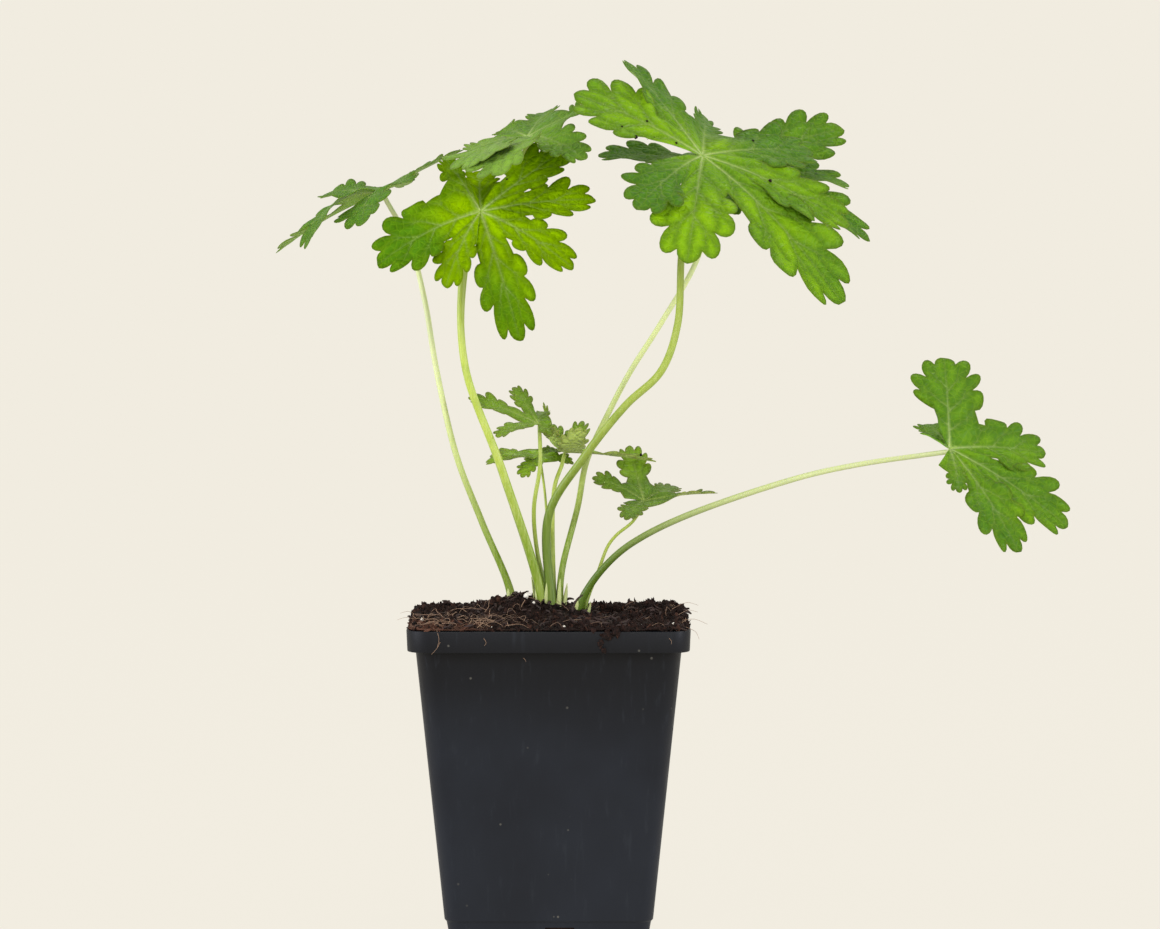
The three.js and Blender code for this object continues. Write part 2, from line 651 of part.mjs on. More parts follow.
// Gives a surface its thickness. Each lobe becomes a closed body before they are joined, because lobes can
// lie over one another.
function thicken({ points, patches }, thickness) {
  const normals = points.map(() => new THREE.Vector3());
  for (const [a, b, c] of patches.flat()) {
    const face = points[b].clone().sub(points[a]).cross(points[c].clone().sub(points[a]));
    for (const number of [a, b, c]) normals[number].add(face);
  }
  for (const normal of normals) normal.normalize();
  const offset = (distance) => points.map((p, i) => p.clone().addScaledVector(normals[i], distance));
  const faces = [...offset(thickness / 2), ...offset(-thickness / 2)];
  const count = points.length;
  const bodies = patches.map((triangles) => {
    const edges = new Map();
    for (const [a, b, c] of triangles) {
      for (const [from, to] of [[a, b], [b, c], [c, a]]) edges.set(`${from} ${to}`, [from, to]);
    }
    const body = triangles.flatMap(([a, b, c]) => [[a, b, c], [c + count, b + count, a + count]]);
    for (const [from, to] of edges.values()) {
      if (edges.has(`${to} ${from}`)) continue;
      // the same diagonal from both sides, so that two lobes' walls match
      if (from < to) body.push([to, from, from + count], [to, from + count, to + count]);
      else body.push([to, from, to + count], [from, from + count, to + count]);
    }
    return toSolid(geometryFrom(faces, body));
  });
  const parts = bodies.reduce((whole, lobe) => whole.add(lobe)).decompose();
  return parts.reduce((main, part) => (part.volume() > main.volume() ? part : main)); // drops empty slivers
}

// ---- Assembly ----

const material = (color, roughness) => new THREE.MeshStandardMaterial({ color, roughness, metalness: 0 });
const materials = {
  pot: material(colours.pot, 0.55),
  soil: material(colours.soil, 0.95),
  rootstock: material(colours.rootstock, 0.8),
  stalk: material(colours.stalk, 0.5),
  blade: material(colours.blade, 0.55),
  youngBlade: material(colours.youngBlade, 0.55),
};

const plant = new THREE.Group();
function addMesh(name, geometry, surface) {
  const flat = geometry.index ? geometry.toNonIndexed() : geometry;
  flat.computeVertexNormals();
  const mesh = new THREE.Mesh(flat, surface);
  mesh.name = name;
  plant.add(mesh);
}

const soilLine = 112; // above this height a stalk is clear of the soil everywhere
let rhizome = rootstockSolid(0);
let ground = toSolid(soilGeometry()).subtract(rootstockSolid(clearance));
for (const name of Object.keys(stalks)) {
  const rings = stalkRings(name, clearance);
  const clear = rings.findIndex((ring) => ring[0].z > soilLine);
  const socket = toSolid(loft(rings.slice(0, clear + 1)));
  rhizome = rhizome.subtract(socket);
  ground = ground.subtract(socket);
}

addMesh('pot', potGeometry(), materials.pot);
addMesh('soil', fromSolid(ground), materials.soil);
addMesh('rootstock', fromSolid(rhizome), materials.rootstock);
const young = ['e', 'f', 'g', 'h'];
for (const name of Object.keys(leaves)) {
  addMesh(`stalk_${name}`, loft(stalkRings(name)), materials.stalk);
  const surface = young.includes(name) ? materials.youngBlade : materials.blade;
  addMesh(`blade_${name}`, fromSolid(thicken(leafSurface(name), blade.thickness)), surface);
}

export default plant;
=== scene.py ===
# A young hardy geranium in its square nursery pot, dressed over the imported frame.
# The dictionaries hold millimetres and degrees; meshes are made in millimetres and scaled to metres once.

import math
import random

import bpy
import numpy as np
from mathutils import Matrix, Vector, noise
from mathutils.geometry import delaunay_2d_cdt


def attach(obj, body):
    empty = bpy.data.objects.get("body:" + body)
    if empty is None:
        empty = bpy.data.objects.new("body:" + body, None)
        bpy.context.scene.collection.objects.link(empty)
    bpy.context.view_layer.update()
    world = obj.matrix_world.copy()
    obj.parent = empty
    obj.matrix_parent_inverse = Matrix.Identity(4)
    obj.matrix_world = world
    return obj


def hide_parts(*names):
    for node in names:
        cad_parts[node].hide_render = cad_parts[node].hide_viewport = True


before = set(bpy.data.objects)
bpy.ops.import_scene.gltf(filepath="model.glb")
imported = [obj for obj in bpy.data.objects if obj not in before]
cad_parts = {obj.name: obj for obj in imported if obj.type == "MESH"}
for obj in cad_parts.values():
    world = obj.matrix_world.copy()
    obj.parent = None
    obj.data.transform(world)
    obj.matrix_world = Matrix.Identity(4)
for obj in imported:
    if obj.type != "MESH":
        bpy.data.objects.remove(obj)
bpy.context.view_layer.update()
mm = 0.001


# small helpers

def linear(hexColour):
    channels = [int(hexColour[i:i + 2], 16) / 255 for i in (1, 3, 5)]
    return [c / 12.92 if c <= 0.04045 else ((c + 0.055) / 1.055) ** 2.4 for c in channels] + [1.0]


def plug(tree, node, sockets):
    # each input gets a link when it is given another node's socket, and else the value itself
    for name, value in sockets.items():
        if isinstance(value, bpy.types.NodeSocket):
            tree.links.new(value, node.inputs[name])
        else:
            node.inputs[name].default_value = value


def addNode(tree, kind, sockets=None, **settings):
    node = tree.nodes.new(kind)
    for name, value in settings.items():
        setattr(node, name, value)
    plug(tree, node, sockets or {})
    return node


def unit(vectors):
    return vectors / np.maximum(np.linalg.norm(vectors, axis=-1, keepdims=True), 1e-12)


def smooth(x):
    x = np.clip(x, 0, 1)
    return x * x * (3 - 2 * x)


def scatter(n):  # a repeatable number between -1 and 1
    return (abs(math.sin(n * 12.9898 + 4.1) * 43758.5453) % 1) * 2 - 1


def meshObject(name, points, faces, edges=(), **attributes):
    mesh = bpy.data.meshes.new(name)
    mesh.from_pydata([tuple(p) for p in np.asarray(points, float) * mm], [tuple(e) for e in edges], faces)
    for key, values in attributes.items():
        layer = mesh.attributes.new(key, "FLOAT", "POINT")
        layer.data.foreach_set("value", np.asarray(values, np.float32))
    piece = bpy.data.objects.new(name, mesh)
    bpy.context.scene.collection.objects.link(piece)
    return piece


def shadeSmooth(piece):
    piece.data.polygons.foreach_set("use_smooth", [True] * len(piece.data.polygons))


def joined(name, pieces):
    bpy.ops.object.select_all(action="DESELECT")
    for piece in pieces:
        piece.select_set(True)
    bpy.context.view_layer.objects.active = pieces[0]
    bpy.ops.object.join()
    pieces[0].name = name
    pieces[0].data.name = name
    return pieces[0]


def finishPiece(piece, slot, *nodes):
    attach(piece, "root")
    if nodes:
        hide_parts(*nodes)
    return piece


def newTree(name, sizes):
    tree = bpy.data.node_groups.new(name, "GeometryNodeTree")
    tree.interface.new_socket("Geometry", in_out="INPUT", socket_type="NodeSocketGeometry")
    for label, (kind, value) in sizes.items():
        socket = tree.interface.new_socket(label, in_out="INPUT", socket_type="NodeSocket" + kind)
        socket.default_value = value
    tree.interface.new_socket("Geometry", in_out="OUTPUT", socket_type="NodeSocketGeometry")
    return tree, addNode(tree, "NodeGroupInput").outputs


def closeTree(tree, geometry, material):
    real = addNode(tree, "GeometryNodeRealizeInstances", {"Geometry": geometry}).outputs[0]
    painted = addNode(tree, "GeometryNodeSetMaterial", {"Geometry": real, "Material": material}).outputs[0]
    addNode(tree, "NodeGroupOutput", {"Geometry": painted})


def runTree(piece, tree, **values):
    modifier = piece.modifiers.new("shape", "NODES")
    modifier.node_group = tree
    for item in tree.interface.items_tree:
        if item.in_out == "INPUT" and item.name in values:
            modifier[item.identifier] = values[item.name]
    evaluated = piece.evaluated_get(bpy.context.evaluated_depsgraph_get())
    mesh = bpy.data.meshes.new_from_object(evaluated)
    piece.modifiers.remove(modifier)
    piece.data = mesh
    mesh.name = piece.name
    return piece


# materials: a look holds hex colours, sizes in millimetres and strengths

def newMaterial(name):
    material = bpy.data.materials.new(name)
    material.use_nodes = True
    tree = material.node_tree
    place = addNode(tree, "ShaderNodeTexCoord").outputs["Object"]
    return material, tree, tree.nodes["Principled BSDF"], place


def channel(tree, name):  # a number that the mesh carries
    return addNode(tree, "ShaderNodeAttribute", attribute_name=name).outputs["Fac"]


def noiseOf(tree, place, size, detail=2.0):
    sockets = {"Vector": place, "Scale": 1 / (size * mm), "Detail": detail}
    return addNode(tree, "ShaderNodeTexNoise", sockets).outputs[0]


def cellsOf(tree, place, size, feature="F1"):
    sockets = {"Vector": place, "Scale": 1 / (size * mm)}
    return addNode(tree, "ShaderNodeTexVoronoi", sockets, feature=feature).outputs["Distance"]


def streaked(tree, place, share):  # stretches a texture upwards
    return addNode(tree, "ShaderNodeMapping", {"Vector": place, "Scale": (1.0, 1.0, share)}).outputs[0]


def ranged(tree, value, low, high, atLow=0.0, atHigh=1.0):
    return addNode(tree, "ShaderNodeMapRange", {0: value, 1: low, 2: high, 3: atLow, 4: atHigh}).outputs[0]


def combined(tree, operation, first, second):
    return addNode(tree, "ShaderNodeMath", {0: first, 1: second}, operation=operation).outputs[0]


def mixed(tree, share, below, above):
    below, above = (linear(colour) if isinstance(colour, str) else colour for colour in (below, above))
    return addNode(tree, "ShaderNodeMix", {0: share, 6: below, 7: above}, data_type="RGBA").outputs[2]


def ramped(tree, value, first, last, stops):
    ramp = addNode(tree, "ShaderNodeValToRGB", {0: value})
    elements = ramp.color_ramp.elements
    elements[0].color, elements[1].color = first, last
    for position, colour in stops:
        elements.new(position).color = colour
    return ramp.outputs[0]


def bumped(tree, height, strength, depth, **more):
    sockets = {"Height": height, "Strength": strength, "Distance": depth * mm, **more}
    return addNode(tree, "ShaderNodeBump", sockets).outputs[0]


def bladeTissue(name, look):
    # living leaf: a thin waxy skin over wet green cells, so a soft broken gloss and a little light through
    # it; its colours also carry painted shade in the furrows beside the veins, painted light and shade by
    # lobe, and painted sheen
    material, tree, shader, place = newMaterial(name)
    drift = noiseOf(tree, place, look["driftSize"])
    mottle = noiseOf(tree, place, look["mottleSize"], 5.0)
    areoles = cellsOf(tree, place, look["areoleSize"], "DISTANCE_TO_EDGE")  # fields between the finest veins
    # the tone brings painted light and shade by lobe into how bright the green is
    bright = combined(tree, "ADD", drift, channel(tree, "tone"))
    furrowShade = combined(tree, "SUBTRACT", mottle, channel(tree, "field"))
    skin = mixed(tree, ranged(tree, bright, 0.7, 1.3), look["face"], look["bright"])
    # painted shade: the shade colour goes into the furrows next to the veins, where field is low, and into
    # random mottle
    skin = mixed(tree, ranged(tree, furrowShade, -0.4, 0.45, 0.04, 0.54), skin, look["shade"])
    skin = mixed(tree, ranged(tree, areoles, 0.0, 0.12, look["net"], 0.0), skin, look["minor"])
    # under brings in the underside's own paler green, and on upper faces painted sheen
    for layer in ("under", "rim", "vein"):
        skin = mixed(tree, channel(tree, layer), skin, look[layer])
    fine = bumped(tree, noiseOf(tree, place, look["grainSize"]), 0.5, 0.12)
    cushion = combined(tree, "ADD", ranged(tree, areoles, 0.0, 0.35), mottle)
    plug(tree, shader, {
        "Base Color": skin, "Roughness": ranged(tree, mottle, 0.3, 0.7, 0.4, 0.6),
        "Normal": bumped(tree, cushion, 0.8, 0.45, Normal=fine), "Specular IOR Level": look["gloss"],
        "Subsurface Weight": look["glow"], "Subsurface Radius": (1.0, 1.0, 0.15),
        "Subsurface Scale": 0.8 * mm, "Sheen Weight": look["down"], "Sheen Roughness": 0.35,
        "Sheen Tint": linear("#dbe8b0")})
    return material


grownTissue = {
    "face": "#48741a", "bright": "#7ba600", "shade": "#345a08", "vein": "#c8de84", "under": "#8fb052",
    "minor": "#8cac20", "rim": "#4a5a12", "net": 0.14, "glow": 0.35, "down": 0.02, "gloss": 0.1,
    "driftSize": 14, "mottleSize": 3.5, "areoleSize": 2.2, "grainSize": 0.5,
}
# painted light: a brighter, yellower copy of the grown leaf's colours, standing in for light shining through
# leaf b
litThroughTissue = {**grownTissue, "face": "#4c7a12", "bright": "#86ac00", "shade": "#3c5e00", "down": 0.0,
              "gloss": 0.0}
youngTissue = {
    **grownTissue, "face": "#5c7e1c", "bright": "#98c41c", "shade": "#3c5810", "vein": "#a8bc60",
    "under": "#b4c66c", "minor": "#7c9030", "rim": "#5a5428", "glow": 0.2, "down": 0.12, "gloss": 0.2,
}
grownBlade = bladeTissue("geranium leaf, full grown", grownTissue)
litThroughBlade = bladeTissue("geranium leaf, painted as lit through", litThroughTissue)
youngBlade = bladeTissue("geranium leaf, young and downy", youngTissue)


def stalkSkin(name, look):
    # juicy leaf stalk: watery pale green skin with fine lengthwise ribs, darker where it leaves the soil
    material, tree, shader, place = newMaterial(name)
    ribs = noiseOf(tree, streaked(tree, place, look["ribStretch"]), look["ribSize"], 3.0)
    blotch = noiseOf(tree, place, look["blotchSize"], 3.0)
    skin = ramped(tree, channel(tree, "along"), linear(look["foot"]), linear(look["neck"]),
                  [(position, linear(look[part])) for position, part in look["stops"]])
    skin = mixed(tree, ranged(tree, ribs, 0.4, 0.65, 0.0, 0.35), skin, look["rib"])
    skin = mixed(tree, ranged(tree, blotch, 0.5, 0.75, 0.0, 0.4), skin, look["low"])
    skin = mixed(tree, channel(tree, "tint"), skin, look["deep"])
    skin = mixed(tree, channel(tree, "paleDownAndSheen"), skin, look["downy"])
    plug(tree, shader, {
        "Base Color": skin, "Normal": bumped(tree, ribs, 0.5, 0.12), "Roughness": 0.4,
        "Specular IOR Level": 0.3, "Subsurface Weight": 0.25, "Subsurface Radius": (0.8, 1.0, 0.3),
        "Subsurface Scale": 0.9 * mm})
    return material


stalkGreen = stalkSkin("geranium leaf stalk", {
    "foot": "#7c9028", "low": "#76921a", "middle": "#aaba4c", "neck": "#9fb046", "rib": "#c6d082",
    "deep": "#4b6418", "downy": "#e9ebc8", "stops": [(0.16, "low"), (0.42, "middle"), (0.75, "middle")],
    "ribSize": 0.7, "ribStretch": 0.06, "blotchSize": 6,
})


def downHair(name, look):
    # plant hair: a clear, hollow cell that catches light, almost white
    material, tree, shader, place = newMaterial(name)
    colour = mixed(tree, noiseOf(tree, place, look["patchSize"]), look["dull"], look["bright"])
    plug(tree, shader, {"Base Color": colour, "Roughness": 0.4})
    return material


hairCell = downHair("leaf down", {"dull": "#b9c470", "bright": "#dde2b4", "patchSize": 9})


def mouldedPot(name, look):
    # injection-moulded polypropylene from recycled feed: near black, faintly blue, satin, dusty and scuffed;
    # painted shade darkens it towards the top, most of all in a band just under the rim's skirt
    material, tree, shader, place = newMaterial(name)
    drift = noiseOf(tree, place, look["driftSize"], 3.0)
    scuffs = noiseOf(tree, streaked(tree, place, look["scuffStretch"]), look["scuffSize"], 5.0)
    height = addNode(tree, "ShaderNodeSeparateXYZ", {"Vector": place}).outputs["Z"]
    # painted shade: from here up the wall grows darker, most in a band just under the rim's skirt, where its
    # shadow falls
    rise = ranged(tree, height, look["paintedShadeFrom"] * mm, look["paintedShadeTo"] * mm)
    paintedShadeShares = [(position, (share, share, share, 1)) for position, share in look["paintedShadeStops"]]
    skin = mixed(tree, ranged(tree, drift, 0.3, 0.7), look["body"], look["worn"])
    skin = mixed(tree, ramped(tree, rise, paintedShadeShares[0][1], paintedShadeShares[-1][1], paintedShadeShares[1:-1]), skin, look["dampPeatAndPotShade"])
    skin = mixed(tree, ranged(tree, scuffs, 0.6, 0.8, 0.0, 0.3), skin, look["scuff"])
    dots = ranged(tree, cellsOf(tree, place, look["dotSpacing"]), 0.07, 0.12, 1.0, 0.0)
    patches = ranged(tree, noiseOf(tree, place, look["dustPatch"]), 0.58, 0.7)
    skin = mixed(tree, combined(tree, "MULTIPLY", dots, patches), skin, look["dust"])
    plug(tree, shader, {
        "Base Color": skin, "Roughness": ranged(tree, scuffs, 0.3, 0.8, 0.42, 0.62),
        "Normal": bumped(tree, noiseOf(tree, place, look["peelSize"]), 0.25, 0.08),
        "Specular IOR Level": 0.2})
    return material


potPlastic = mouldedPot("moulded polypropylene", {
    "body": "#12151c", "worn": "#1a1e26", "dampPeatAndPotShade": "#050508", "scuff": "#2d3137", "dust": "#55534d",
    "driftSize": 40, "scuffSize": 1.6, "scuffStretch": 0.12, "dotSpacing": 4.2, "dustPatch": 11,
    "peelSize": 0.6, "paintedShadeFrom": 60, "paintedShadeTo": 100,  # painted shade: darker towards the top, darkest just under the rim's skirt where its shadow falls
    "paintedShadeStops": [(0, 0), (0.55, 0.75), (0.72, 0.85), (0.795, 1.0), (0.82, 1.0), (0.83, 0.85), (1, 0.65)],
})


def pottingPeat(name, look):
    # damp peat compost: dark crumbs of decayed moss and bark that hardly reflect, ruddier where they are dry
    material, tree, shader, place = newMaterial(name)
    patch = noiseOf(tree, place, look["patchSize"], 3.0)
    grit = noiseOf(tree, place, look["gritSize"], 6.0)
    relief = combined(tree, "ADD", cellsOf(tree, place, look["crumbSize"]), grit)
    skin = mixed(tree, ranged(tree, patch, 0.4, 0.65), look["wet"], look["dampPeatAndPotShade"])
    skin = mixed(tree, ranged(tree, grit, 0.45, 0.75, 0.0, 0.5), skin, look["grit"])
    skin = mixed(tree, channel(tree, "tint"), skin, look["dry"])
    plug(tree, shader, {"Base Color": skin, "Normal": bumped(tree, relief, 0.8, 0.5), "Roughness": 0.88,
                        "Specular IOR Level": 0.2})
    return material


peat = pottingPeat("peat potting compost", {
    "wet": "#0c0604", "dampPeatAndPotShade": "#1b0f0b", "grit": "#3c231b", "dry": "#6c4838",
    "patchSize": 16, "crumbSize": 1.4, "gritSize": 0.8,
})


def rootBark(name, dark, light, patchSize=5):
    # dry litter such as root fibre, bark and perlite: rough and dull, in darker and lighter patches
    material, tree, shader, place = newMaterial(name)
    patch = noiseOf(tree, place, patchSize, 4.0)
    plug(tree, shader, {"Base Color": mixed(tree, patch, dark, light), "Roughness": 0.75,
                        "Normal": bumped(tree, patch, 0.4, 0.2)})
    return material


fibre = rootBark("root and moss fibre", "#63493a", "#ab8c70")
rhizomeBark = rootBark("rhizome bark", "#4f3a28", "#8b6d4c")
papery = rootBark("papery leaf sheath", "#93a24c", "#c9cf98")
darkBark = rootBark("composted bark shreds", "#0e0705", "#3a2219")
pumice = rootBark("perlite", "#b9b2a2", "#f0ece0")

print("materials ready")


# tubes along paths: stalks, veins and fibres

def pathTubes(name):
    tree, given = newTree(name, {"Sides": ("Int", 12), "Material": ("Material", None)})
    curve = addNode(tree, "GeometryNodeMeshToCurve", {"Mesh": given["Geometry"]}).outputs[0]
    radius = addNode(tree, "GeometryNodeInputNamedAttribute", {"Name": "radius"},
                     data_type="FLOAT").outputs[0]
    ring = addNode(tree, "GeometryNodeCurvePrimitiveCircle", {"Resolution": given["Sides"], "Radius": 1.0})
    tube = addNode(tree, "GeometryNodeCurveToMesh", {"Curve": curve, "Profile Curve": ring.outputs[0],
                                                     "Scale": radius, "Fill Caps": True}).outputs[0]
    soft = addNode(tree, "GeometryNodeSetShadeSmooth", {"Geometry": tube}).outputs[0]
    closeTree(tree, soft, given["Material"])
    return tree


tubeTree = pathTubes("tubes along paths")


def tubesAlong(name, paths, sides, material):
    # paths: lists of (points, radii, extra attributes by name)
    points, edges = [], []
    values = {"radius": []}
    for path, radii, extra in paths:
        first = len(points)
        points.extend(path)
        edges.extend((first + i, first + i + 1) for i in range(len(path) - 1))
        values["radius"].extend(np.asarray(radii) * mm)
        for key, numbers in extra.items():
            values.setdefault(key, []).extend(numbers)
    piece = meshObject(name, points, [], edges, **values)
    return runTree(piece, tubeTree, Sides=sides, Material=material)


def smoothPath(points, step, samples=24):
    # a smooth curve through the points: evenly spaced points, each one's share of the length, the length
    p = [np.array(q, float) for q in points]
    p = [2 * p[0] - p[1]] + p + [2 * p[-1] - p[-2]]
    line = []
    for i in range(1, len(p) - 2):
        knots = [0.0]
        for a, b in zip(p[i - 1:i + 2], p[i:i + 3]):
            knots.append(knots[-1] + np.linalg.norm(b - a) ** 0.5)
        t = np.linspace(knots[1], knots[2], samples, endpoint=False)[:, None]
        a = [((knots[k + 1] - t) * p[i - 1 + k] + (t - knots[k]) * p[i + k]) / (knots[k + 1] - knots[k])
             for k in range(3)]
        b = [((knots[k + 2] - t) * a[k] + (t - knots[k]) * a[k + 1]) / (knots[k + 2] - knots[k])
             for k in range(2)]
        line.append(((knots[2] - t) * b[0] + (t - knots[1]) * b[1]) / (knots[2] - knots[1]))
    line = np.vstack(line + [p[-2][None]])
    lengths = np.concatenate([[0], np.cumsum(np.linalg.norm(np.diff(line, axis=0), axis=1))])
    count = max(4, round(lengths[-1] / step))
    even = np.linspace(0, lengths[-1], count + 1)
    spaced = np.stack([np.interp(even, lengths, line[:, k]) for k in range(3)], 1)
    return spaced, even / lengths[-1], lengths[-1]


# leaves

blade = {
    "thickness": 0.42, "margin": 0.16, "marginRun": 1.2,  # thinner at the margin, from this far inside it
    "sinus": 0.42, "petioleGap": 22, "lobeHalf": 0.24, "notchRun": 0.03, "blendRun": 0.6,
    "fold": 0.05, "wave": 0.7, "waveTurn": 0.45, "rollStart": 0.4,
    "spacing": 0.75,  # between the points of the surface
    "toothSteps": 8, "toothScatter": (0.012, 0.07),  # along and across the lobe
    "quilt": 0.5, "quiltReach": 1.5, "quiltRun": 2.5,  # how high the lamina swells between veins, how soon
    "veinBlur": 0.16, "veinFade": 2.6, "veinClear": 0.45, "veinSunk": 0.05,
    "toneStart": 0.35, "veinPaint": 0.7, "rimPaint": 0.55, "rimWidth": 0.55, "underPaint": 0.8,
}

# a leaf's tone sets how bright and yellow its green is; a lobe's tone is painted light and shade that lifts
# lobes lying in shadow and darkens others towards their outer parts
leaves = {
    "a": {
        "centre": (-55, 15, 239), "normal": (-0.5, 0, 0.87),
        # pale here is painted sheen on a leaf seen almost edge-on
        "tone": 0.1, "paleDownAndSheen": 0.06,
        "lobes": [
            {"tip": (-60, -14, 229), "arch": 6, "half": 1.4},
            {"tip": (-44, -4, 243), "arch": 3, "half": 0.8},
            {"tip": (-28, 14, 253), "arch": 1, "half": 0.8},
            {"tip": (-46, 40, 242), "arch": 2},
            {"tip": (-75, 42, 238), "arch": 2, "half": 0.8},
            {"tip": (-90, 18, 219), "arch": 3},
            {"tip": (-79, -6, 221), "arch": 12, "half": 0.95},
        ],
    },
    "b": {
        "centre": (-22, -14, 233), "normal": (-0.1, -0.72, 0.7), "petioleGap": 18,
        "tone": 0.85,
        "lobes": [
            {"tip": (-9, -32, 192), "arch": 9, "half": 0.8, "tone": -0.45},
            {"tip": (8, -28, 215), "arch": 6, "half": 0.85, "tone": 0.45},
            {"tip": (15, -14, 237), "arch": 3, "half": 0.9, "tone": 0.6},
            {"tip": (7, -4, 254), "arch": 2, "half": 0.9, "tone": 0.5},
            {"tip": (-23, 20, 246), "arch": 4, "half": 0.75},
            {"tip": (-34, 0, 250), "arch": 3, "half": 0.8, "roll": 25, "tone": -0.3},
            {"tip": (-55, -23, 216), "arch": 6, "half": 1.3, "share": 60, "tone": -0.7},
            {"tip": (-33, -30, 209), "arch": 6, "half": 0.9, "share": 36},
        ],
    },
    "c": {
        "centre": (49.5, -12, 251), "normal": (0.1, -0.62, 0.78), "petioleGap": 16,
        "tone": 0.56,
        "lobes": [
            {"tip": (28, -38, 234), "arch": 6, "half": 1.2, "share": 50, "tone": -0.45},
            {"tip": (44, -44, 217), "arch": 8, "half": 1.2, "share": 56, "tone": 0.2},
            {"tip": (94, -28, 204), "arch": 9, "half": 0.85},
            {"tip": (97, -12, 228), "arch": 6, "half": 0.75},
            {"tip": (86, 8, 252), "arch": 4, "half": 1.1, "tone": -0.5},
            {"tip": (51, 22, 264), "arch": 3, "half": 0.6, "roll": 35, "tone": -0.4},
            {"tip": (25, 12, 282), "arch": 2, "half": 0.8, "roll": 35, "tone": -0.4},
            {"tip": (8, -8, 271), "arch": 4, "half": 1.2},
        ],
    },
    "d": {
        "centre": (57, 16, 247), "normal": (0, -0.4, 0.92),
        "tone": 0.3,
        "lobes": [
            {"tip": (61, 0, 232), "arch": 3},
            {"tip": (105, 10, 223), "arch": 9, "half": 0.7},
            {"tip": (99, 28, 241), "arch": 5, "half": 0.8},
            {"tip": (97, 34, 260), "arch": 2, "half": 1, "roll": 25},
            {"tip": (74, 46, 258), "arch": 3},
            {"tip": (40, 46, 250), "arch": 4},
            {"tip": (16, 20, 251), "arch": 4, "half": 0.8},
        ],
    },
    "e": {
        "centre": (-3.5, 3, 163.5), "normal": (-0.25, -0.5, 0.83), "petioleGap": 60, "sinus": 0.36,
        "tone": 0.5,
        "lobes": [
            {"tip": (1, -3, 160), "arch": 0.5, "half": 0.8},
            {"tip": (-2, 14, 167), "arch": 2},
            {"tip": (-12, 14, 175), "arch": 2, "half": 0.7},
            {"tip": (-26.5, 4, 172), "arch": 2, "half": 0.6},
            {"tip": (-17, -10, 160), "arch": 3, "half": 0.9},
        ],
    },
    "f": {
        "centre": (5, 11, 154), "normal": (0.1, 0.1, 0.99),
        "tone": 0.85,
        "lobes": [
            {"tip": (10, -5, 163), "arch": -6},
            {"tip": (35, 7, 151), "arch": 1, "half": 0.5},
            {"tip": (11, 31, 163), "arch": -4, "half": 0.7},
            {"tip": (1, 29, 162), "arch": -4, "half": 0.9},
            {"tip": (-2, 17, 170), "arch": -7, "half": 0.4, "share": 36},
            {"tip": (-0.5, 5, 163), "arch": -3, "half": 1.2},
        ],
    },
    "g": {
        "centre": (-3, 14, 152), "normal": (-0.05, -0.5, 0.86),
        "tone": 0.95,
        "lobes": [
            {"tip": (-9, 3, 146), "arch": 3},
            {"tip": (8, 16, 150), "arch": 2, "half": 0.8},
            {"tip": (3, 26, 154), "arch": 1, "half": 0.8},
            {"tip": (-21, 22, 150), "arch": 3, "half": 0.8},
            {"tip": (-16, 5, 153), "arch": 2},
        ],
    },
    "h": {
        "centre": (31, 6, 138), "normal": (-0.1, -0.62, 0.78),
        "tone": 0.25,
        "lobes": [
            {"tip": (25, -10, 133), "arch": 3},
            {"tip": (55, 2, 141), "arch": 2, "half": 0.5, "roll": -45},
            {"tip": (42, 18, 142), "arch": 2, "half": 1.1},
            {"tip": (26, 18, 155.5), "arch": 0, "half": 1, "tone": 0.4},
            {"tip": (14, 2, 146), "arch": 3, "half": 0.8},
        ],
    },
    "i": {
        "centre": (130, -8, 156), "normal": (0.1, -0.75, 0.65), "petioleGap": 30,
        "tone": 0.4,
        "lobes": [
            {"tip": (132, -26, 143), "arch": 4, "half": 0.7},
            {"tip": (151, -28, 124), "arch": 6, "half": 0.8},
            {"tip": (168, -14, 131), "arch": 5, "half": 0.9},
            {"tip": (162, 0, 154), "arch": 4, "half": 1.2},
            {"tip": (129, 6, 185), "arch": 3, "half": 1.5, "share": 74},
            {"tip": (124, 12, 163), "arch": 3, "half": 1.1},
        ],
    },
    "j": {
        # pale here is painted sheen on a leaf seen at a grazing angle
        "centre": (-7, -3, 257), "normal": (-0.45, -0.3, 0.84), "sinus": 0.56, "petioleGap": 16,
        "tone": 0.3, "paleDownAndSheen": 0.1, "quilt": 0.3,
        "lobes": [
            {"tip": (-26, -11, 252), "arch": 3, "half": 1.55, "paleDownAndSheen": 0.32},
            {"tip": (-26, -28, 247), "arch": 6, "half": 1.7, "paleDownAndSheen": 0.32},
            {"tip": (-15, -40, 245), "arch": 7, "half": 1.3, "paleDownAndSheen": 0.28},
            {"tip": (12, -28, 250), "arch": 6, "half": 0.9},
            {"tip": (14, -4, 267), "arch": 1, "half": 0.8},
            {"tip": (0, 20, 266), "arch": 1, "half": 0.9},
            {"tip": (-15, 13, 260), "arch": 1, "half": 1.1},
        ],
    },
}
youngLeaves = "efgh"
litThroughLeaves = "b"

toothValleys = [(0.44, 0.66), (0.61, 0.76), (0.76, 0.56), (0.91, 0.3)]
toothCrests = [(0.54, 1), (0.76, 1.04), (0.93, 0.66), (1, 0)]
sideVeins = [(0.2, 0), (0.4, 1), (0.62, 2)]  # where each leaves the midrib, and the tooth that it runs to
veinSizes = {
    "radius": 0.24, "perLength": 0.003,  # of the midrib at its foot
    # each kind's share of that radius, its radius at the end, and how strongly it shows
    "midrib": (1, 0.08, 0.8), "side": (0.42, 0.07, 0.32), "twig": (0.2, 0.06, 0.14),
}


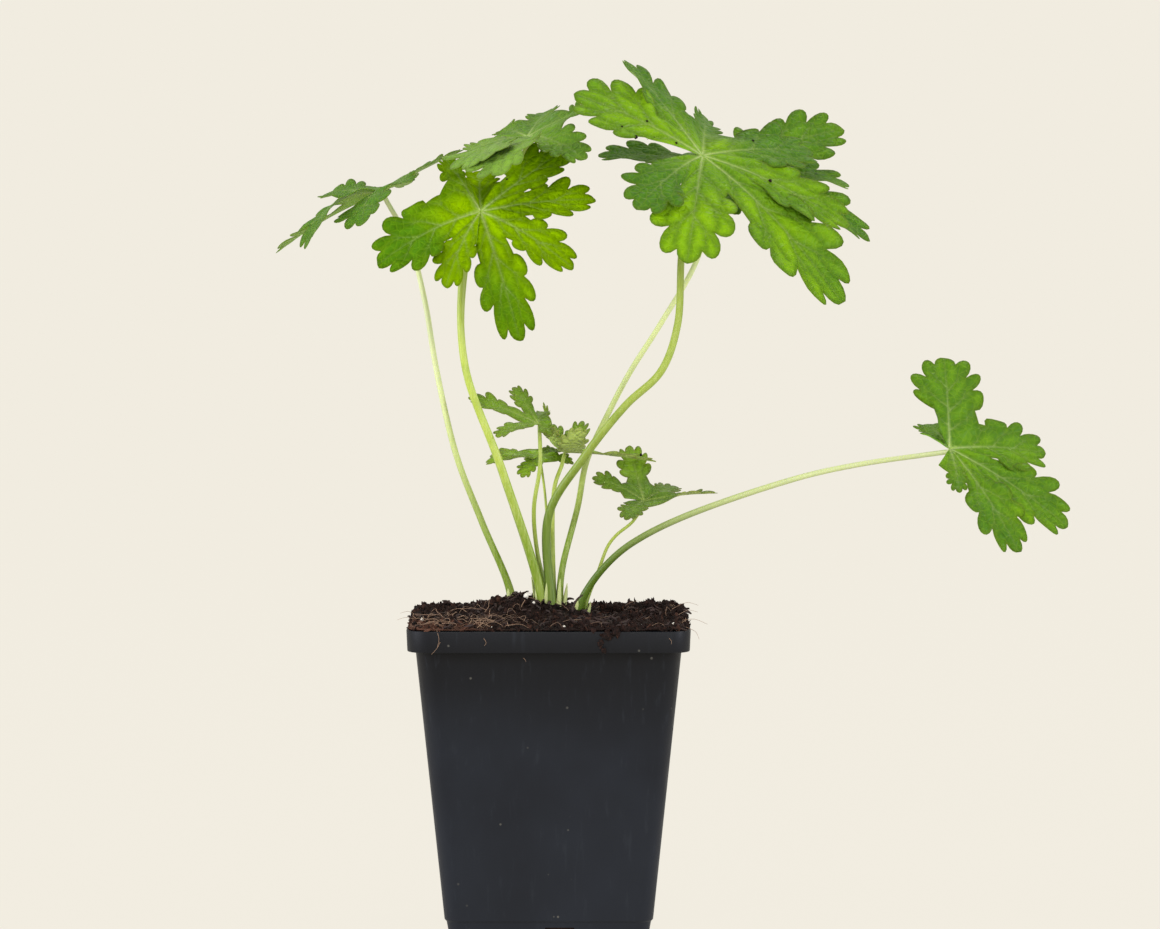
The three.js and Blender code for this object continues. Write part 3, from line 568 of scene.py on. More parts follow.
def preparedLeaf(name):
    leaf = leaves[name]
    centre = np.array(leaf["centre"], float)
    normal = unit(np.array(leaf["normal"], float))
    gap = leaf.get("petioleGap", blade["petioleGap"])
    fixedShare = sum(lobe.get("share", 0) for lobe in leaf["lobes"])
    freeLobes = sum("share" not in lobe for lobe in leaf["lobes"])
    lobes = []
    for i, lobe in enumerate(leaf["lobes"]):
        tip = np.array(lobe["tip"], float)
        chord = tip - centre
        outward = unit(chord - normal * chord.dot(normal))
        across = np.cross(normal, outward)
        axis, turn = unit(chord), math.radians(lobe.get("roll", 0))
        rolled = (across * math.cos(turn) + np.cross(axis, across) * math.sin(turn)
                  + axis * axis.dot(across) * (1 - math.cos(turn)))
        lobes.append({
            "centre": centre, "tip": tip, "bend": centre + chord / 2 + normal * lobe["arch"],
            "length": float(np.linalg.norm(chord)), "across": across, "rolled": rolled,
            "spread": math.radians(lobe.get("share", (360 - gap - fixedShare) / freeLobes)) / 2,
            "half": blade["lobeHalf"] * lobe.get("half", 1), "seed": ord(name) * 7 + i * 31,
            "tone": lobe.get("tone", 0), "paleDownAndSheen": lobe.get("paleDownAndSheen", 0),
        })
    sinus = leaf.get("sinus", blade["sinus"]) * sum(lobe["length"] for lobe in lobes) / len(lobes)
    return lobes, sinus


def onLobe(lobe, along, across):
    t = (along / lobe["length"])[:, None]
    midrib = lobe["centre"] * (1 - t) ** 2 + lobe["bend"] * 2 * t * (1 - t) + lobe["tip"] * t * t
    direction = unit((lobe["bend"] - lobe["centre"]) * (1 - t) + (lobe["tip"] - lobe["bend"]) * t)
    turned = smooth(t * 2 - blade["rollStart"])
    sideways = unit(lobe["across"] * (1 - turned) + lobe["rolled"] * turned)
    up = unit(np.cross(direction, sideways))
    edge = (across / (lobe["half"] * lobe["length"]))[:, None]
    wave = blade["wave"] * edge * t * np.sin(along * blade["waveTurn"] + lobe["seed"])[:, None]
    return midrib + sideways * across[:, None] + up * (blade["fold"] * lobe["length"] * edge ** 2 * t + wave)


def onLeaf(lobes, sinus, i, along, across):
    # the leaf's surface: beside the line between two lobes, a blend of both
    own = onLobe(lobes[i], along, across)
    radius, angle = np.hypot(along, across), np.arctan2(across, along)
    for side in (-1, 1):
        if not 0 <= i + side < len(lobes):
            continue
        here = angle * side > 0
        neighbour = lobes[i + side]
        turned = angle[here] - side * (lobes[i]["spread"] + neighbour["spread"])
        other = onLobe(neighbour, radius[here] * np.cos(turned), radius[here] * np.sin(turned))
        blend = 1 - smooth((radius[here] / sinus - 1) / blade["blendRun"])
        weight = 0.5 * (angle[here] / lobes[i]["spread"]) ** 2 * blend
        weight = np.minimum(weight, 0.5)[:, None]
        own[here] = own[here] * (1 - weight) + other * weight
    return own


def lobeOutline(lobe, sinus, side, seed):
    # one side of a lobe, from the notch beside it to its tip, and the crests of its teeth
    notch = np.array([math.cos(lobe["spread"]), math.sin(lobe["spread"]) * side]) * sinus / lobe["length"]
    start, width = toothValleys[0]
    joinedTo = math.sqrt(max(0, (sinus / lobe["length"]) ** 2 - (width * lobe["half"]) ** 2))
    squeeze = min(1, (1 - max(joinedTo, notch[0]) - blade["notchRun"]) / (1 - start))

    def placed(point, k):
        shift, swell = blade["toothScatter"]
        along = 1 - (1 - point[0]) * squeeze + shift * scatter(seed + k)
        across = point[1] * lobe["half"] * (1 + swell * scatter(seed + 9 + k)) * side
        return np.array([along, across])

    valleys = [placed(valley, k) for k, valley in enumerate(toothValleys)]
    crests = [placed(crest, k + 4) for k, crest in enumerate(toothCrests)]
    mirrored = valleys[-1] * (1, -1)
    bay = max(2, round(np.linalg.norm(valleys[0] - notch) * lobe["length"] / blade["spacing"]))
    outline = [notch + (valleys[0] - notch) * step / bay for step in range(bay)]
    for k, start in enumerate(valleys):
        end = valleys[k + 1] if k + 1 < len(valleys) else mirrored
        rise = (crests[k] - (start + end) / 2) * 4 / 3
        halves = 1 if k == len(valleys) - 1 else 2  # the tip's tooth belongs half to each side
        for step in range(blade["toothSteps"] * halves // 2):
            t = step / blade["toothSteps"]
            outline.append(start + (end - start) * (3 * t * t - 2 * t ** 3) + 3 * t * (1 - t) * rise)
    return [point * lobe["length"] for point in outline], crests


def veinPaths(lobe, crests):
    # the lobe's midrib, side veins and their twigs: flat points, the radius at each end, and the strength
    length = lobe["length"]
    radius = veinSizes["radius"] + veinSizes["perLength"] * length
    midrib, branch, fine = ((radius * share, thin, strength) for share, thin, strength in
                            (veinSizes[kind] for kind in ("midrib", "side", "twig")))
    reach = np.linspace(0.02, 0.97, max(8, round(length / 0.9)))[:, None]
    paths = [(reach * (length, 0), *midrib)]
    for side in (-1, 1):
        for start, tooth in sideVeins:
            start += 0.03 * side
            goal = crests[side][tooth] * 0.93
            steps = np.linspace(0, 1, max(6, round(length * 0.35)))[:, None]
            bow = np.array([0.5 * goal[0] + 0.5 * start - 0.02, 0.42 * goal[1]])
            line = (1 - steps) ** 2 * (start, 0) + 2 * steps * (1 - steps) * bow + steps ** 2 * goal
            paths.append((line * length, *branch))
            fork = line[len(line) // 2]
            for lean in (-1, 1):
                end = fork + (goal - fork) * 0.75 + np.array([0.05 * lean, -0.055 * side * lean])
                twig = fork + (end - fork) * np.linspace(0, 1, 5)[:, None]
                paths.append((twig * length, *fine))
    return paths


def fromSegment(points, start, end):
    # how far each point is from a straight piece, and its share of the way along it
    run = end - start
    share = np.clip(((points - start) @ run) / max(run @ run, 1e-12), 0, 1)
    return np.linalg.norm(points - start - share[:, None] * run, axis=1), share


def distanceTo(points, starts, ends):
    # the distance from each point to the nearest of the straight pieces
    best = np.full(len(points), 1e9)
    for start, end in zip(starts, ends):
        best = np.minimum(best, fromSegment(points, start, end)[0])
    return best


def nearVeins(points, veins):
    # each point's distance to the nearest vein, and how strongly a vein shows there
    gap, show = np.full(len(points), 1e9), np.zeros(len(points))
    for path, thick, thin, strength in veins:
        for k, (start, end) in enumerate(zip(path, path[1:])):
            away, share = fromSegment(points, start, end)
            along = (k + share) / (len(path) - 1)
            width = blade["veinBlur"] + thick + (thin - thick) * along
            gap = np.minimum(gap, away)
            fade = strength * np.exp(-blade["veinFade"] * along)
            show = np.maximum(show, fade * np.exp(-(away / width) ** 2))
    return gap, show


def inside(points, polygon):
    x, y = points[:, 0], points[:, 1]
    count = np.zeros(len(points), int)
    for (x0, y0), (x1, y1) in zip(polygon, np.roll(polygon, -1, axis=0)):
        if y0 != y1:
            count += ((y0 > y) != (y1 > y)) & (x < (x1 - x0) * (y - y0) / (y1 - y0) + x0)
    return count % 2 == 1


def trimmed(vein, border, margin):
    # the part of a vein that stays clear of the leaf's edge
    path, *rest = vein
    clear = inside(path, border) & (distanceTo(path, margin[:-1], margin[1:]) > blade["veinClear"])
    out = np.flatnonzero(~clear)
    return (path[:max(2, out[0])] if len(out) else path, *rest)


def flatLobe(lobes, sinus, i):
    # one lobe laid flat: points, triangles, distances to margin and veins, how veins show, the veins' paths
    lobe, gap = lobes[i], blade["spacing"]
    crests, sides = {}, {}
    for side, seed in ((-1, lobe["seed"]), (1, lobe["seed"] + 5)):
        sides[side], crests[side] = lobeOutline(lobe, sinus, side, seed)
    radii = np.linspace(0, sinus, max(4, round(sinus / gap)) + 1)[1:-1]
    corner = np.array([math.cos(lobe["spread"]), math.sin(lobe["spread"])])
    rays = {side: [corner * (1, side) * r for r in radii] for side in (-1, 1)}
    margin = np.array(sides[-1] + [np.array([lobe["length"], 0.0])] + sides[1][::-1])
    border = np.array([np.zeros(2)] + rays[-1] + list(margin) + rays[1][::-1])
    following = np.roll(border, -1, axis=0)
    veins = [trimmed(vein, border, margin) for vein in veinPaths(lobe, crests)]
    veinPoints = np.vstack([path for path, *_ in veins[:7]])  # mesh points follow the first of the veins
    low, high = border.min(0), border.max(0)
    grid = []
    for row, y in enumerate(np.arange(low[1], high[1], gap * 0.866)):  # rows of even triangles
        xs = np.arange(low[0] + (row % 2) * gap / 2, high[0], gap)
        grid.append(np.stack([xs, np.full(len(xs), y)], 1))
    grid = np.vstack(grid)
    grid = grid[inside(grid, border)]
    grid = grid[distanceTo(grid, border, following) > gap * 0.55]
    nearest = np.min(np.linalg.norm(grid[:, None] - veinPoints[None], axis=2), axis=1)
    grid = grid[nearest > gap * 0.5]
    fixed = veinPoints[inside(veinPoints, border)]
    fixed = fixed[distanceTo(fixed, border, following) > gap * 0.3]
    loop = [(k, (k + 1) % len(border)) for k in range(len(border))]
    spots = [Vector(p) for p in np.vstack([border, fixed, grid])]
    verts, _, faces, *_ = delaunay_2d_cdt(spots, loop, [], 1, 1e-5)
    flat = np.array([tuple(v) for v in verts])
    toVein, shown = nearVeins(flat, veins)
    return flat, faces, distanceTo(flat, margin[:-1], margin[1:]), toVein, shown, veins


def lobeShare(lobe, along):
    # how far the lobe's own tone, painted light and shade, has taken over from the leaf's
    return smooth(along / lobe["length"] * 2 - blade["toneStart"])


def normalsOf(surface, faces):
    a, b, c = (surface[faces[:, k]] for k in range(3))
    around = np.zeros_like(surface)
    for k in range(3):
        np.add.at(around, faces[:, k], np.cross(b - a, c - a))
    return unit(around)


def leafBlade(name):
    leaf, (lobes, sinus) = leaves[name], preparedLeaf(name)
    quilt = leaf.get("quilt", blade["quilt"])
    points, faces, marks, tubes = [], [], [], []
    for i, lobe in enumerate(lobes):
        flat, triangles, toMargin, toVein, show, veins = flatLobe(lobes, sinus, i)
        first = sum(len(p) for p in points)
        points.append(onLeaf(lobes, sinus, i, flat[:, 0], flat[:, 1]))
        faces.extend(tuple(k + first for k in triangle) for triangle in triangles)
        outer = lobeShare(lobe, flat[:, 0])
        marks.append(np.column_stack([toMargin, toVein, show, leaf["tone"] + lobe["tone"] * outer,
                                      leaf.get("paleDownAndSheen", 0) + lobe["paleDownAndSheen"] * outer]))
        for path, thick, thin, strength in veins:
            line, ahead, beside = (onLeaf(lobes, sinus, i, path[:, 0] + dx, path[:, 1] + dy)
                                   for dx, dy in ((0, 0), (0.1, 0), (0, 0.1)))
            up = unit(np.cross(ahead - line, beside - line))
            radii = np.linspace(thick, thin, len(path))
            line = line - up * (radii - blade["thickness"] / 2 - blade["veinSunk"])[:, None]
            fade = strength * np.exp(-blade["veinFade"] * np.linspace(0, 1, len(path)))
            tone = leaf["tone"] + lobe["tone"] * lobeShare(lobe, path[:, 0])
            tubes.append((line, radii, {"vein": fade, "tone": tone}))
    points = np.vstack(points)
    _, kept, number = np.unique(np.round(points, 3), axis=0, return_index=True, return_inverse=True)
    number = number.ravel()
    points = points[kept]
    margins, veinGaps, shown, tones, paintedSheen = np.vstack(marks)[kept].T.copy()
    faces = [tuple(int(number[k]) for k in face) for face in faces]
    faces = np.array([face for face in faces if len(set(face)) == 3])
    inner = smooth(margins / blade["quiltRun"])
    swell = quilt * (1 - np.exp(-(veinGaps / blade["quiltReach"]) ** 2)) * inner
    points = points + normalsOf(points, faces) * swell[:, None]
    up = normalsOf(points, faces)
    half = (blade["margin"] / 2 + (blade["thickness"] - blade["margin"]) / 2
            * smooth(margins / blade["marginRun"]))[:, None]
    count = len(points)
    edges = dict.fromkeys(pair for a, b, c in faces for pair in ((a, b), (b, c), (c, a)))
    shell = [tuple(face) for face in faces] + [tuple(face[::-1] + count) for face in faces]
    shell += [(b, a, a + count, b + count) for a, b in edges if (b, a) not in edges]
    rim = np.exp(-(margins / blade["rimWidth"]) ** 2)
    # field, the swell's share, tells the material where to paint shade in the furrows beside the veins
    body = meshObject("lamina_" + name, np.vstack([points + up * half, points - up * half]), shell,
                      vein=np.tile(shown, 2) * blade["veinPaint"], rim=np.tile(rim, 2) * blade["rimPaint"],
                      # on the upper face under carries painted sheen, making leaves seen at a grazing angle
                      # pale; on the lower face it is the underside's own green
                      under=np.append(paintedSheen, np.full(count, blade["underPaint"])),
                      tone=np.tile(tones, 2), field=np.tile(swell / quilt, 2))
    tissue = youngBlade if name in youngLeaves else litThroughBlade if name in litThroughLeaves else grownBlade
    body.data.materials.append(tissue)
    shadeSmooth(body)
    ribs = tubesAlong("veins_" + name, tubes, 6, tissue)
    piece = joined("leafBlade_" + name, [body, ribs])
    return finishPiece(piece, "young_blade" if name in youngLeaves else "blade", "blade_" + name)


bladePieces = {name: leafBlade(name) for name in leaves}
print("leaf blades:", {name: len(piece.data.polygons) for name, piece in bladePieces.items()})


# stalks

stalk = {
    "step": 1.4, "sides": 14, "flare": 0.35, "flareFrom": 8, "flareHeight": 5, "clearance": 0.3,
    "bladeThickness": 0.7, "neckReach": 0.9, "tip": 0.45, "tintLoss": 0.6, "tintRun": 1.4,
    "paleRun": 1.6, "paleStart": 0.2,
}
stalks = {
    "a": {"foot": 1.15, "neck": 0.8, "tint": 0.3, "paleDownAndSheen": 0.57,
          "path": [(-12.4, 2, 98), (-12.6, 2, 108), (-21.9, 4, 131), (-30.4, 6, 153),
                   (-37, 10, 181), (-41, 14, 204), (-46, 19, 222)]},
    "b": {"foot": 1.5, "neck": 1.05, "tint": 0.1,
          "path": [(-2.6, -1, 97), (-2.3, -1.4, 106), (-15.2, -8, 149), (-27, -9, 182), (-28.5, -7, 207),
                   (-26, -6, 224)]},
    "c": {"foot": 1.5, "neck": 1.05, "tint": 0.75,
          "path": [(1.1, -1.9, 96), (0.6, -1.9, 106), (-0.2, -4, 134), (11, -10, 153), (24.9, -14, 170.6),
                   (36.2, -14, 181.5), (41.5, -12, 196), (43, -7, 220), (46, -5, 243)]},
    "d": {"foot": 1.05, "neck": 0.85, "tint": 0.25, "paleDownAndSheen": 0.45,
          "path": [(3.8, 0.9, 96), (3.4, 0.9, 106), (4.2, 2, 116), (9.3, 9, 136), (12.4, 17, 151),
                   (20, 18, 167.5), (26.5, 15, 180), (36.3, 13, 195.6), (48, 13, 216), (54, 16, 236)]},
    "e": {"foot": 0.75, "neck": 0.65, "tint": 0.55,
          "path": [(-0.4, 1.5, 97), (-0.6, 1.5, 106), (-4, 2.4, 122), (-5, 0.4, 136), (-3, 0.4, 150)]},
    "f": {"foot": 0.8, "neck": 0.65, "tint": 0.3, "path": [(1.6, 2, 96), (1.5, 2.1, 106), (1.6, 6, 142),
                                                           (4.2, 10, 150)]},
    "g": {"foot": 0.45, "neck": 0.4, "tint": 0.4, "path": [(0.2, 3.9, 96), (0.2, 3.9, 106),
                                                           (-1.2, 6.8, 138)]},
    "h": {"foot": 0.6, "neck": 0.5, "tint": 0.3,
          "path": [(11, 3.6, 95), (12, 3.6, 104.5), (16, 5, 115), (19.2, 5.4, 123.4), (22, 5.4, 127),
                   (27.4, 6.4, 131.4)]},
    "i": {"foot": 1.2, "neck": 0.8, "tint": 0.95, "paleDownAndSheen": 0.4,
          "path": [(6.8, 0, 95), (9, 0, 102.5), (14, -1, 112), (21.8, -3, 121), (30, -5, 127),
                   (45.5, -7, 134.6), (81.5, -8, 146.8), (101, -7, 151), (120, -4.5, 153.6)]},
    "j": {"foot": 0.9, "neck": 0.75, "tint": 0.3,
          "path": [(-3, 2.2, 97), (-3, 2.2, 106), (-16, -2.5, 149), (-27, -3, 181),
                   (-28, 4, 207), (-24, 8, 226), (-14, 9, 238), (-10, 5, 248)]},
}


def leafStalk(name):
    shape, leaf = stalks[name], leaves[name]
    drop = stalk["bladeThickness"] / 2 + stalk["clearance"] + shape["neck"] * stalk["neckReach"]
    neck = np.array(leaf["centre"], float) - unit(np.array(leaf["normal"], float)) * drop
    line, share, length = smoothPath(shape["path"] + [tuple(neck)], stalk["step"])
    line = np.vstack([line, leaf["centre"]])  # the stalk runs on into the veins
    share = np.append(share, 1.0)
    radii = shape["foot"] + (shape["neck"] - shape["foot"]) * share
    height = np.maximum(share * length - stalk["flareFrom"], 0)
    radii = radii * (1 + stalk["flare"] * np.exp(-height / stalk["flareHeight"]))
    radii[-1] *= stalk["tip"]
    extra = {"along": share,
             "tint": shape["tint"] * (1 - stalk["tintLoss"] * smooth(share * stalk["tintRun"])),
             "paleDownAndSheen": shape.get("paleDownAndSheen", 0) * smooth(share * stalk["paleRun"] - stalk["paleStart"])}
    piece = tubesAlong("leafStalk_" + name, [(line, radii, extra)], stalk["sides"], stalkGreen)
    return finishPiece(piece, "stalk", "stalk_" + name)


stalkPieces = {name: leafStalk(name) for name in stalks}
print("stalks:", len(stalkPieces))


# down on stalks and leaves

down = {  # density is hairs per square metre
    "lean": 0.7, "scale": (0.4, 1.2),
    "downOnStalks": {"density": 50000, "length": 1.1, "thickness": 0.03, "seed": 3},
    "downOnYoungLeaves": {"density": 60000, "length": 0.9, "thickness": 0.028, "seed": 5},
    "downOnLeaves": {"density": 7000, "length": 0.7, "thickness": 0.026, "seed": 7},
}


def downTree(name):
    lean = down["lean"]
    tree, given = newTree(name, {
        "Density": ("Float", 50000.0), "Length": ("Float", mm), "Thickness": ("Float", 0.03 * mm),
        "Seed": ("Int", 1), "Material": ("Material", None)})
    cloud = addNode(tree, "GeometryNodeDistributePointsOnFaces", {
        "Mesh": given["Geometry"], "Density": given["Density"], "Seed": given["Seed"]})
    hair = addNode(tree, "GeometryNodeMeshCone", {
        "Vertices": 3, "Radius Top": 0.0, "Radius Bottom": given["Thickness"], "Depth": given["Length"]})
    tilt = addNode(tree, "FunctionNodeRandomValue", {
        0: (-lean, -lean, 0.0), 1: (lean, lean, 6.28), "Seed": given["Seed"]}, data_type="FLOAT_VECTOR")
    turned = addNode(tree, "FunctionNodeRotateRotation", {
        "Rotation": cloud.outputs["Rotation"], "Rotate By": tilt.outputs[0]}, rotation_space="LOCAL")
    size = addNode(tree, "FunctionNodeRandomValue", {
        2: down["scale"][0], 3: down["scale"][1], "Seed": given["Seed"]}, data_type="FLOAT")
    hairs = addNode(tree, "GeometryNodeInstanceOnPoints", {
        "Points": cloud.outputs["Points"], "Instance": hair.outputs[0], "Rotation": turned.outputs[0],
        "Scale": size.outputs[1]})
    closeTree(tree, hairs.outputs[0], given["Material"])
    return tree


downTreeBuilt = downTree("down on skin")


def coatOfDown(name, slot, sources):
    # hairs over copies of the pieces, without the copies themselves
    copies = []
    for source in sources:
        copy = source.copy()
        copy.data = source.data.copy()
        copy.parent = None
        bpy.context.scene.collection.objects.link(copy)
        copies.append(copy)
    coat = joined(name, copies)
    for key in [key for key in coat.keys() if key.startswith("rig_")]:
        del coat[key]
    coat.data.materials.clear()
    runTree(coat, downTreeBuilt, Density=float(down[name]["density"]), Length=down[name]["length"] * mm,
            Thickness=down[name]["thickness"] * mm, Seed=down[name]["seed"], Material=hairCell)
    return finishPiece(coat, slot)


young = [piece for name, piece in bladePieces.items() if name in youngLeaves]
grown = [piece for name, piece in bladePieces.items() if name not in youngLeaves]
coats = [coatOfDown("downOnStalks", "stalk", list(stalkPieces.values())),
         coatOfDown("downOnYoungLeaves", "young_blade", young),
         coatOfDown("downOnLeaves", "blade", grown)]
print("down:", [len(piece.data.polygons) for piece in coats])


# pot

pot = {
    "height": 100, "wall": 1.2, "floor": 1.4, "rimHalf": 45.5, "rimDepth": 7, "rimStandOff": 2.2,
    "skirtDraft": 0.3, "baseHalf": 33.1, "footHeight": 4.8, "footStep": 0.6,
    "cornerTop": 8, "cornerBase": 5.5, "slotWidth": 9.4, "slotHeight": 3.2, "slotShift": 3.5, "slotReach": 5,
    "chamfer": 0.7, "fillet": 0.35, "filletSteps": 3, "underInset": 3, "floorInset": 6,
    "sideSteps": 8, "cornerSteps": 12, "sharpAbove": 35,
}


def wallAt(z):
    return pot["baseHalf"] + (pot["rimHalf"] - pot["rimStandOff"] - pot["baseHalf"]) * z / pot["height"]


def squareRing(half, radius, z, sideSteps, cornerSteps):
    ring = []
    for corner in range(4):
        turn = corner * math.pi / 2
        straight = half - radius
        for i in range(sideSteps - 1):
            along = -straight + 2 * straight * (i + 1) / sideSteps
            ring.append((half * math.cos(turn) - along * math.sin(turn),
                         half * math.sin(turn) + along * math.cos(turn), z))
        middle = straight * math.sqrt(2)
        cx, cy = middle * math.cos(turn + math.pi / 4), middle * math.sin(turn + math.pi / 4)
        for i in range(cornerSteps + 1):
            angle = turn + i / cornerSteps * math.pi / 2
            ring.append((cx + radius * math.cos(angle), cy + radius * math.sin(angle), z))
    return np.array(ring)


def potRing(half, z, sideSteps, cornerSteps):
    growth = half - wallAt(z)
    corner = pot["cornerBase"] + (pot["cornerTop"] - pot["cornerBase"]) * z / pot["height"]
    return squareRing(half, corner + (0.3 * growth if growth > 0 else growth), z, sideSteps, cornerSteps)


def loftFaces(ringCount, count):
    faces = []
    for ring in range(ringCount - 1):
        for i in range(count):
            a, b = ring * count + i, ring * count + (i + 1) % count
            faces.append((a, b, b + count, a + count))
    last = (ringCount - 1) * count
    faces.append(tuple(range(count))[::-1])
    faces.append(tuple(last + i for i in range(count)))
    return faces


def roundedProfile(profile, radius, steps):
    # each corner between the ends of the profile becomes a short curve
    line = [profile[0]]
    for before, corner, after in zip(profile, profile[1:], profile[2:]):
        before, corner, after = (np.array(p, float) for p in (before, corner, after))
        reach = min(radius, np.linalg.norm(before - corner) / 2.2, np.linalg.norm(after - corner) / 2.2)
        a, b = corner + unit(before - corner) * reach, corner + unit(after - corner) * reach
        line += [tuple((1 - t) ** 2 * a + 2 * t * (1 - t) * corner + t * t * b)
                 for t in np.linspace(0, 1, steps + 1)]
    return line + [profile[-1]]


def nurseryPot():
    h, wall, rim, step, edge = pot["height"], pot["wall"], pot["rimHalf"], pot["footStep"], pot["chamfer"]
    foot, skirt, draft = pot["footHeight"], pot["height"] - pot["rimDepth"], pot["skirtDraft"]
    profile = [
        (wallAt(0) - step - edge - pot["underInset"], 0), (wallAt(0) - step - edge / 2, 0),
        (wallAt(foot) - step, foot), (wallAt(foot + step), foot + step),
        (wallAt(h - wall), h - wall), (rim - wall, h - wall), (rim - wall - draft, skirt),
        (rim - draft, skirt), (rim, h), (wallAt(h) - wall, h), (wallAt(foot + step) - wall, foot + step),
        (wallAt(foot) - step - wall, foot), (wallAt(pot["floor"]) - step - wall, pot["floor"]),
        (wallAt(0) - step - pot["floorInset"], pot["floor"]),
    ]
    profile = roundedProfile(profile, pot["fillet"], pot["filletSteps"])
    rings = [potRing(half, z, pot["sideSteps"], pot["cornerSteps"]) for half, z in profile]
    piece = meshObject("nurseryPot", np.vstack(rings), loftFaces(len(rings), len(rings[0])))
    w, r, t = pot["slotWidth"] / 2, pot["slotReach"], pot["slotHeight"]
    corners = [(x + pot["slotShift"], y - pot["baseHalf"], z)
               for z in (-t, t) for x, y in ((-w, -r), (w, -r), (w, r), (-w, r))]
    box = loftFaces(2, 4)
    cutters = []
    for side in range(4):
        c, s = math.cos(side * math.pi / 2), math.sin(side * math.pi / 2)
        turned = [(x * c - y * s, x * s + y * c, z) for x, y, z in corners]
        cutters.append(meshObject("slotCutter", turned, box[4:] + box[:4]))  # ends before sides
    cutter = joined("slotCutter", cutters)
    cut = piece.modifiers.new("slots", "BOOLEAN")
    cut.operation, cut.object, cut.solver = "DIFFERENCE", cutter, "EXACT"
    mesh = bpy.data.meshes.new_from_object(piece.evaluated_get(bpy.context.evaluated_depsgraph_get()))
    piece.modifiers.remove(cut)
    piece.data = mesh
    mesh.name = piece.name
    bpy.data.objects.remove(cutter)
    piece.data.materials.clear()
    piece.data.materials.append(potPlastic)
    shadeSmooth(piece)
    piece.data.set_sharp_from_angle(angle=math.radians(pot["sharpAbove"]))
    return finishPiece(piece, "pot", "pot")


potPiece = nurseryPot()
print("pot:", len(potPiece.data.polygons))


# soil

soil = {
    "spill": 0.7, "skin": 0.6, "grain": 0.4, "edgeDrop": 0.2, "clearance": 0.3,
    "mounds": [(-12, 1, 6.6, 11), (3, 1, 3.8, 9), (35, 8, 2.8, 9), (-34, -8, 0.6, 14), (16, -24, 0.8, 10)],
    "rings": 58, "sideSteps": 84, "cornerSteps": 8, "corner": 8, "inward": 0.985, "lip": 0.5, "toe": 1.4,
    "lowest": (0.1, 0.2),  # above the rim, at the edge and inside it
    "dryTint": 0.5, "dryFrom": (-8, -5), "dryRun": 30,  # the left front corner has dried
    "lump": 1.0, "lumpSize": 5.5, "settle": 0.3, "crumble": 0.7, "crumbleSize": 1.9, "fine": 0.22,
    "fineSize": 0.8,
    "seed": 14, "strewnClods": 110, "strewnSize": (0.6, 1.9), "amongStalks": (18, 9),
    "clods": [(18.6, -44.9, 98.7, 1.7), (16.6, -45.7, 96.4, 1.0), (21.6, -45.1, 99.8, 1.4),
              (17.6, -46.1, 94.2, 0.8), (14.2, -44.4, 100.2, 1.2), (24.8, -44, 100.6, 1.3),
              (33, 4, 104.4, 1.7), (38, 9, 103.8, 1.5), (29, 6, 103, 1.5), (42.5, 2, 102.6, 1.2),
              (-18, -1, 105, 1.6), (-8, -4, 106.2, 1.5), (19, 8, 102.6, 2.1), (22, 12, 102.2, 1.7),
              (-27, 6, 102, 1.4), (-38, 10, 101.4, 1.2)],
}
noise.seed_set(soil["seed"])  # noise_vector would follow the clock without it


def soilHeight(x, y):
    mound = sum(h * math.exp(-((x - cx) ** 2 + (y - cy) ** 2) / r ** 2) for cx, cy, h, r in soil["mounds"])
    lumps = math.sin(x * 0.62 + 1.3 * math.sin(y * 0.31)) * math.sin(y * 0.55 + 1.1 * math.sin(x * 0.27))
    return pot["height"] + soil["clearance"] + soil["skin"] + mound + soil["grain"] * lumps


def crumbled(point):
    # pushes a point of the soil's top about, in lumps and in crumbs
    p = Vector(point)
    big = noise.fractal(p / soil["lumpSize"], 1.0, 2.0, 3)
    small = noise.noise_vector(p / soil["crumbleSize"]) * soil["crumble"]
    fine = noise.noise_vector(p / soil["fineSize"]) * soil["fine"]
    return p + Vector((0, 0, big * soil["lump"] - soil["settle"])) + small + fine


def lumpyBall(centre, radius, seed, rings=9, sides=14):
    points = []
    for ring in range(rings):
        for i in range(sides):
            polar, turn = math.pi * (ring + 0.5) / rings, 2 * math.pi * i / sides
            wide = math.sin(polar)
            ray = Vector((wide * math.cos(turn), wide * math.sin(turn), -math.cos(polar)))
            swell = (1 + 0.45 * noise.noise(ray * 1.6 + Vector((seed, 0, 0)))
                     + 0.2 * noise.noise(ray * 4 + Vector((0, seed, 0))))
            points.append(Vector(centre) + ray * radius * swell)
    return np.array([tuple(p) for p in points]), loftFaces(rings, sides)


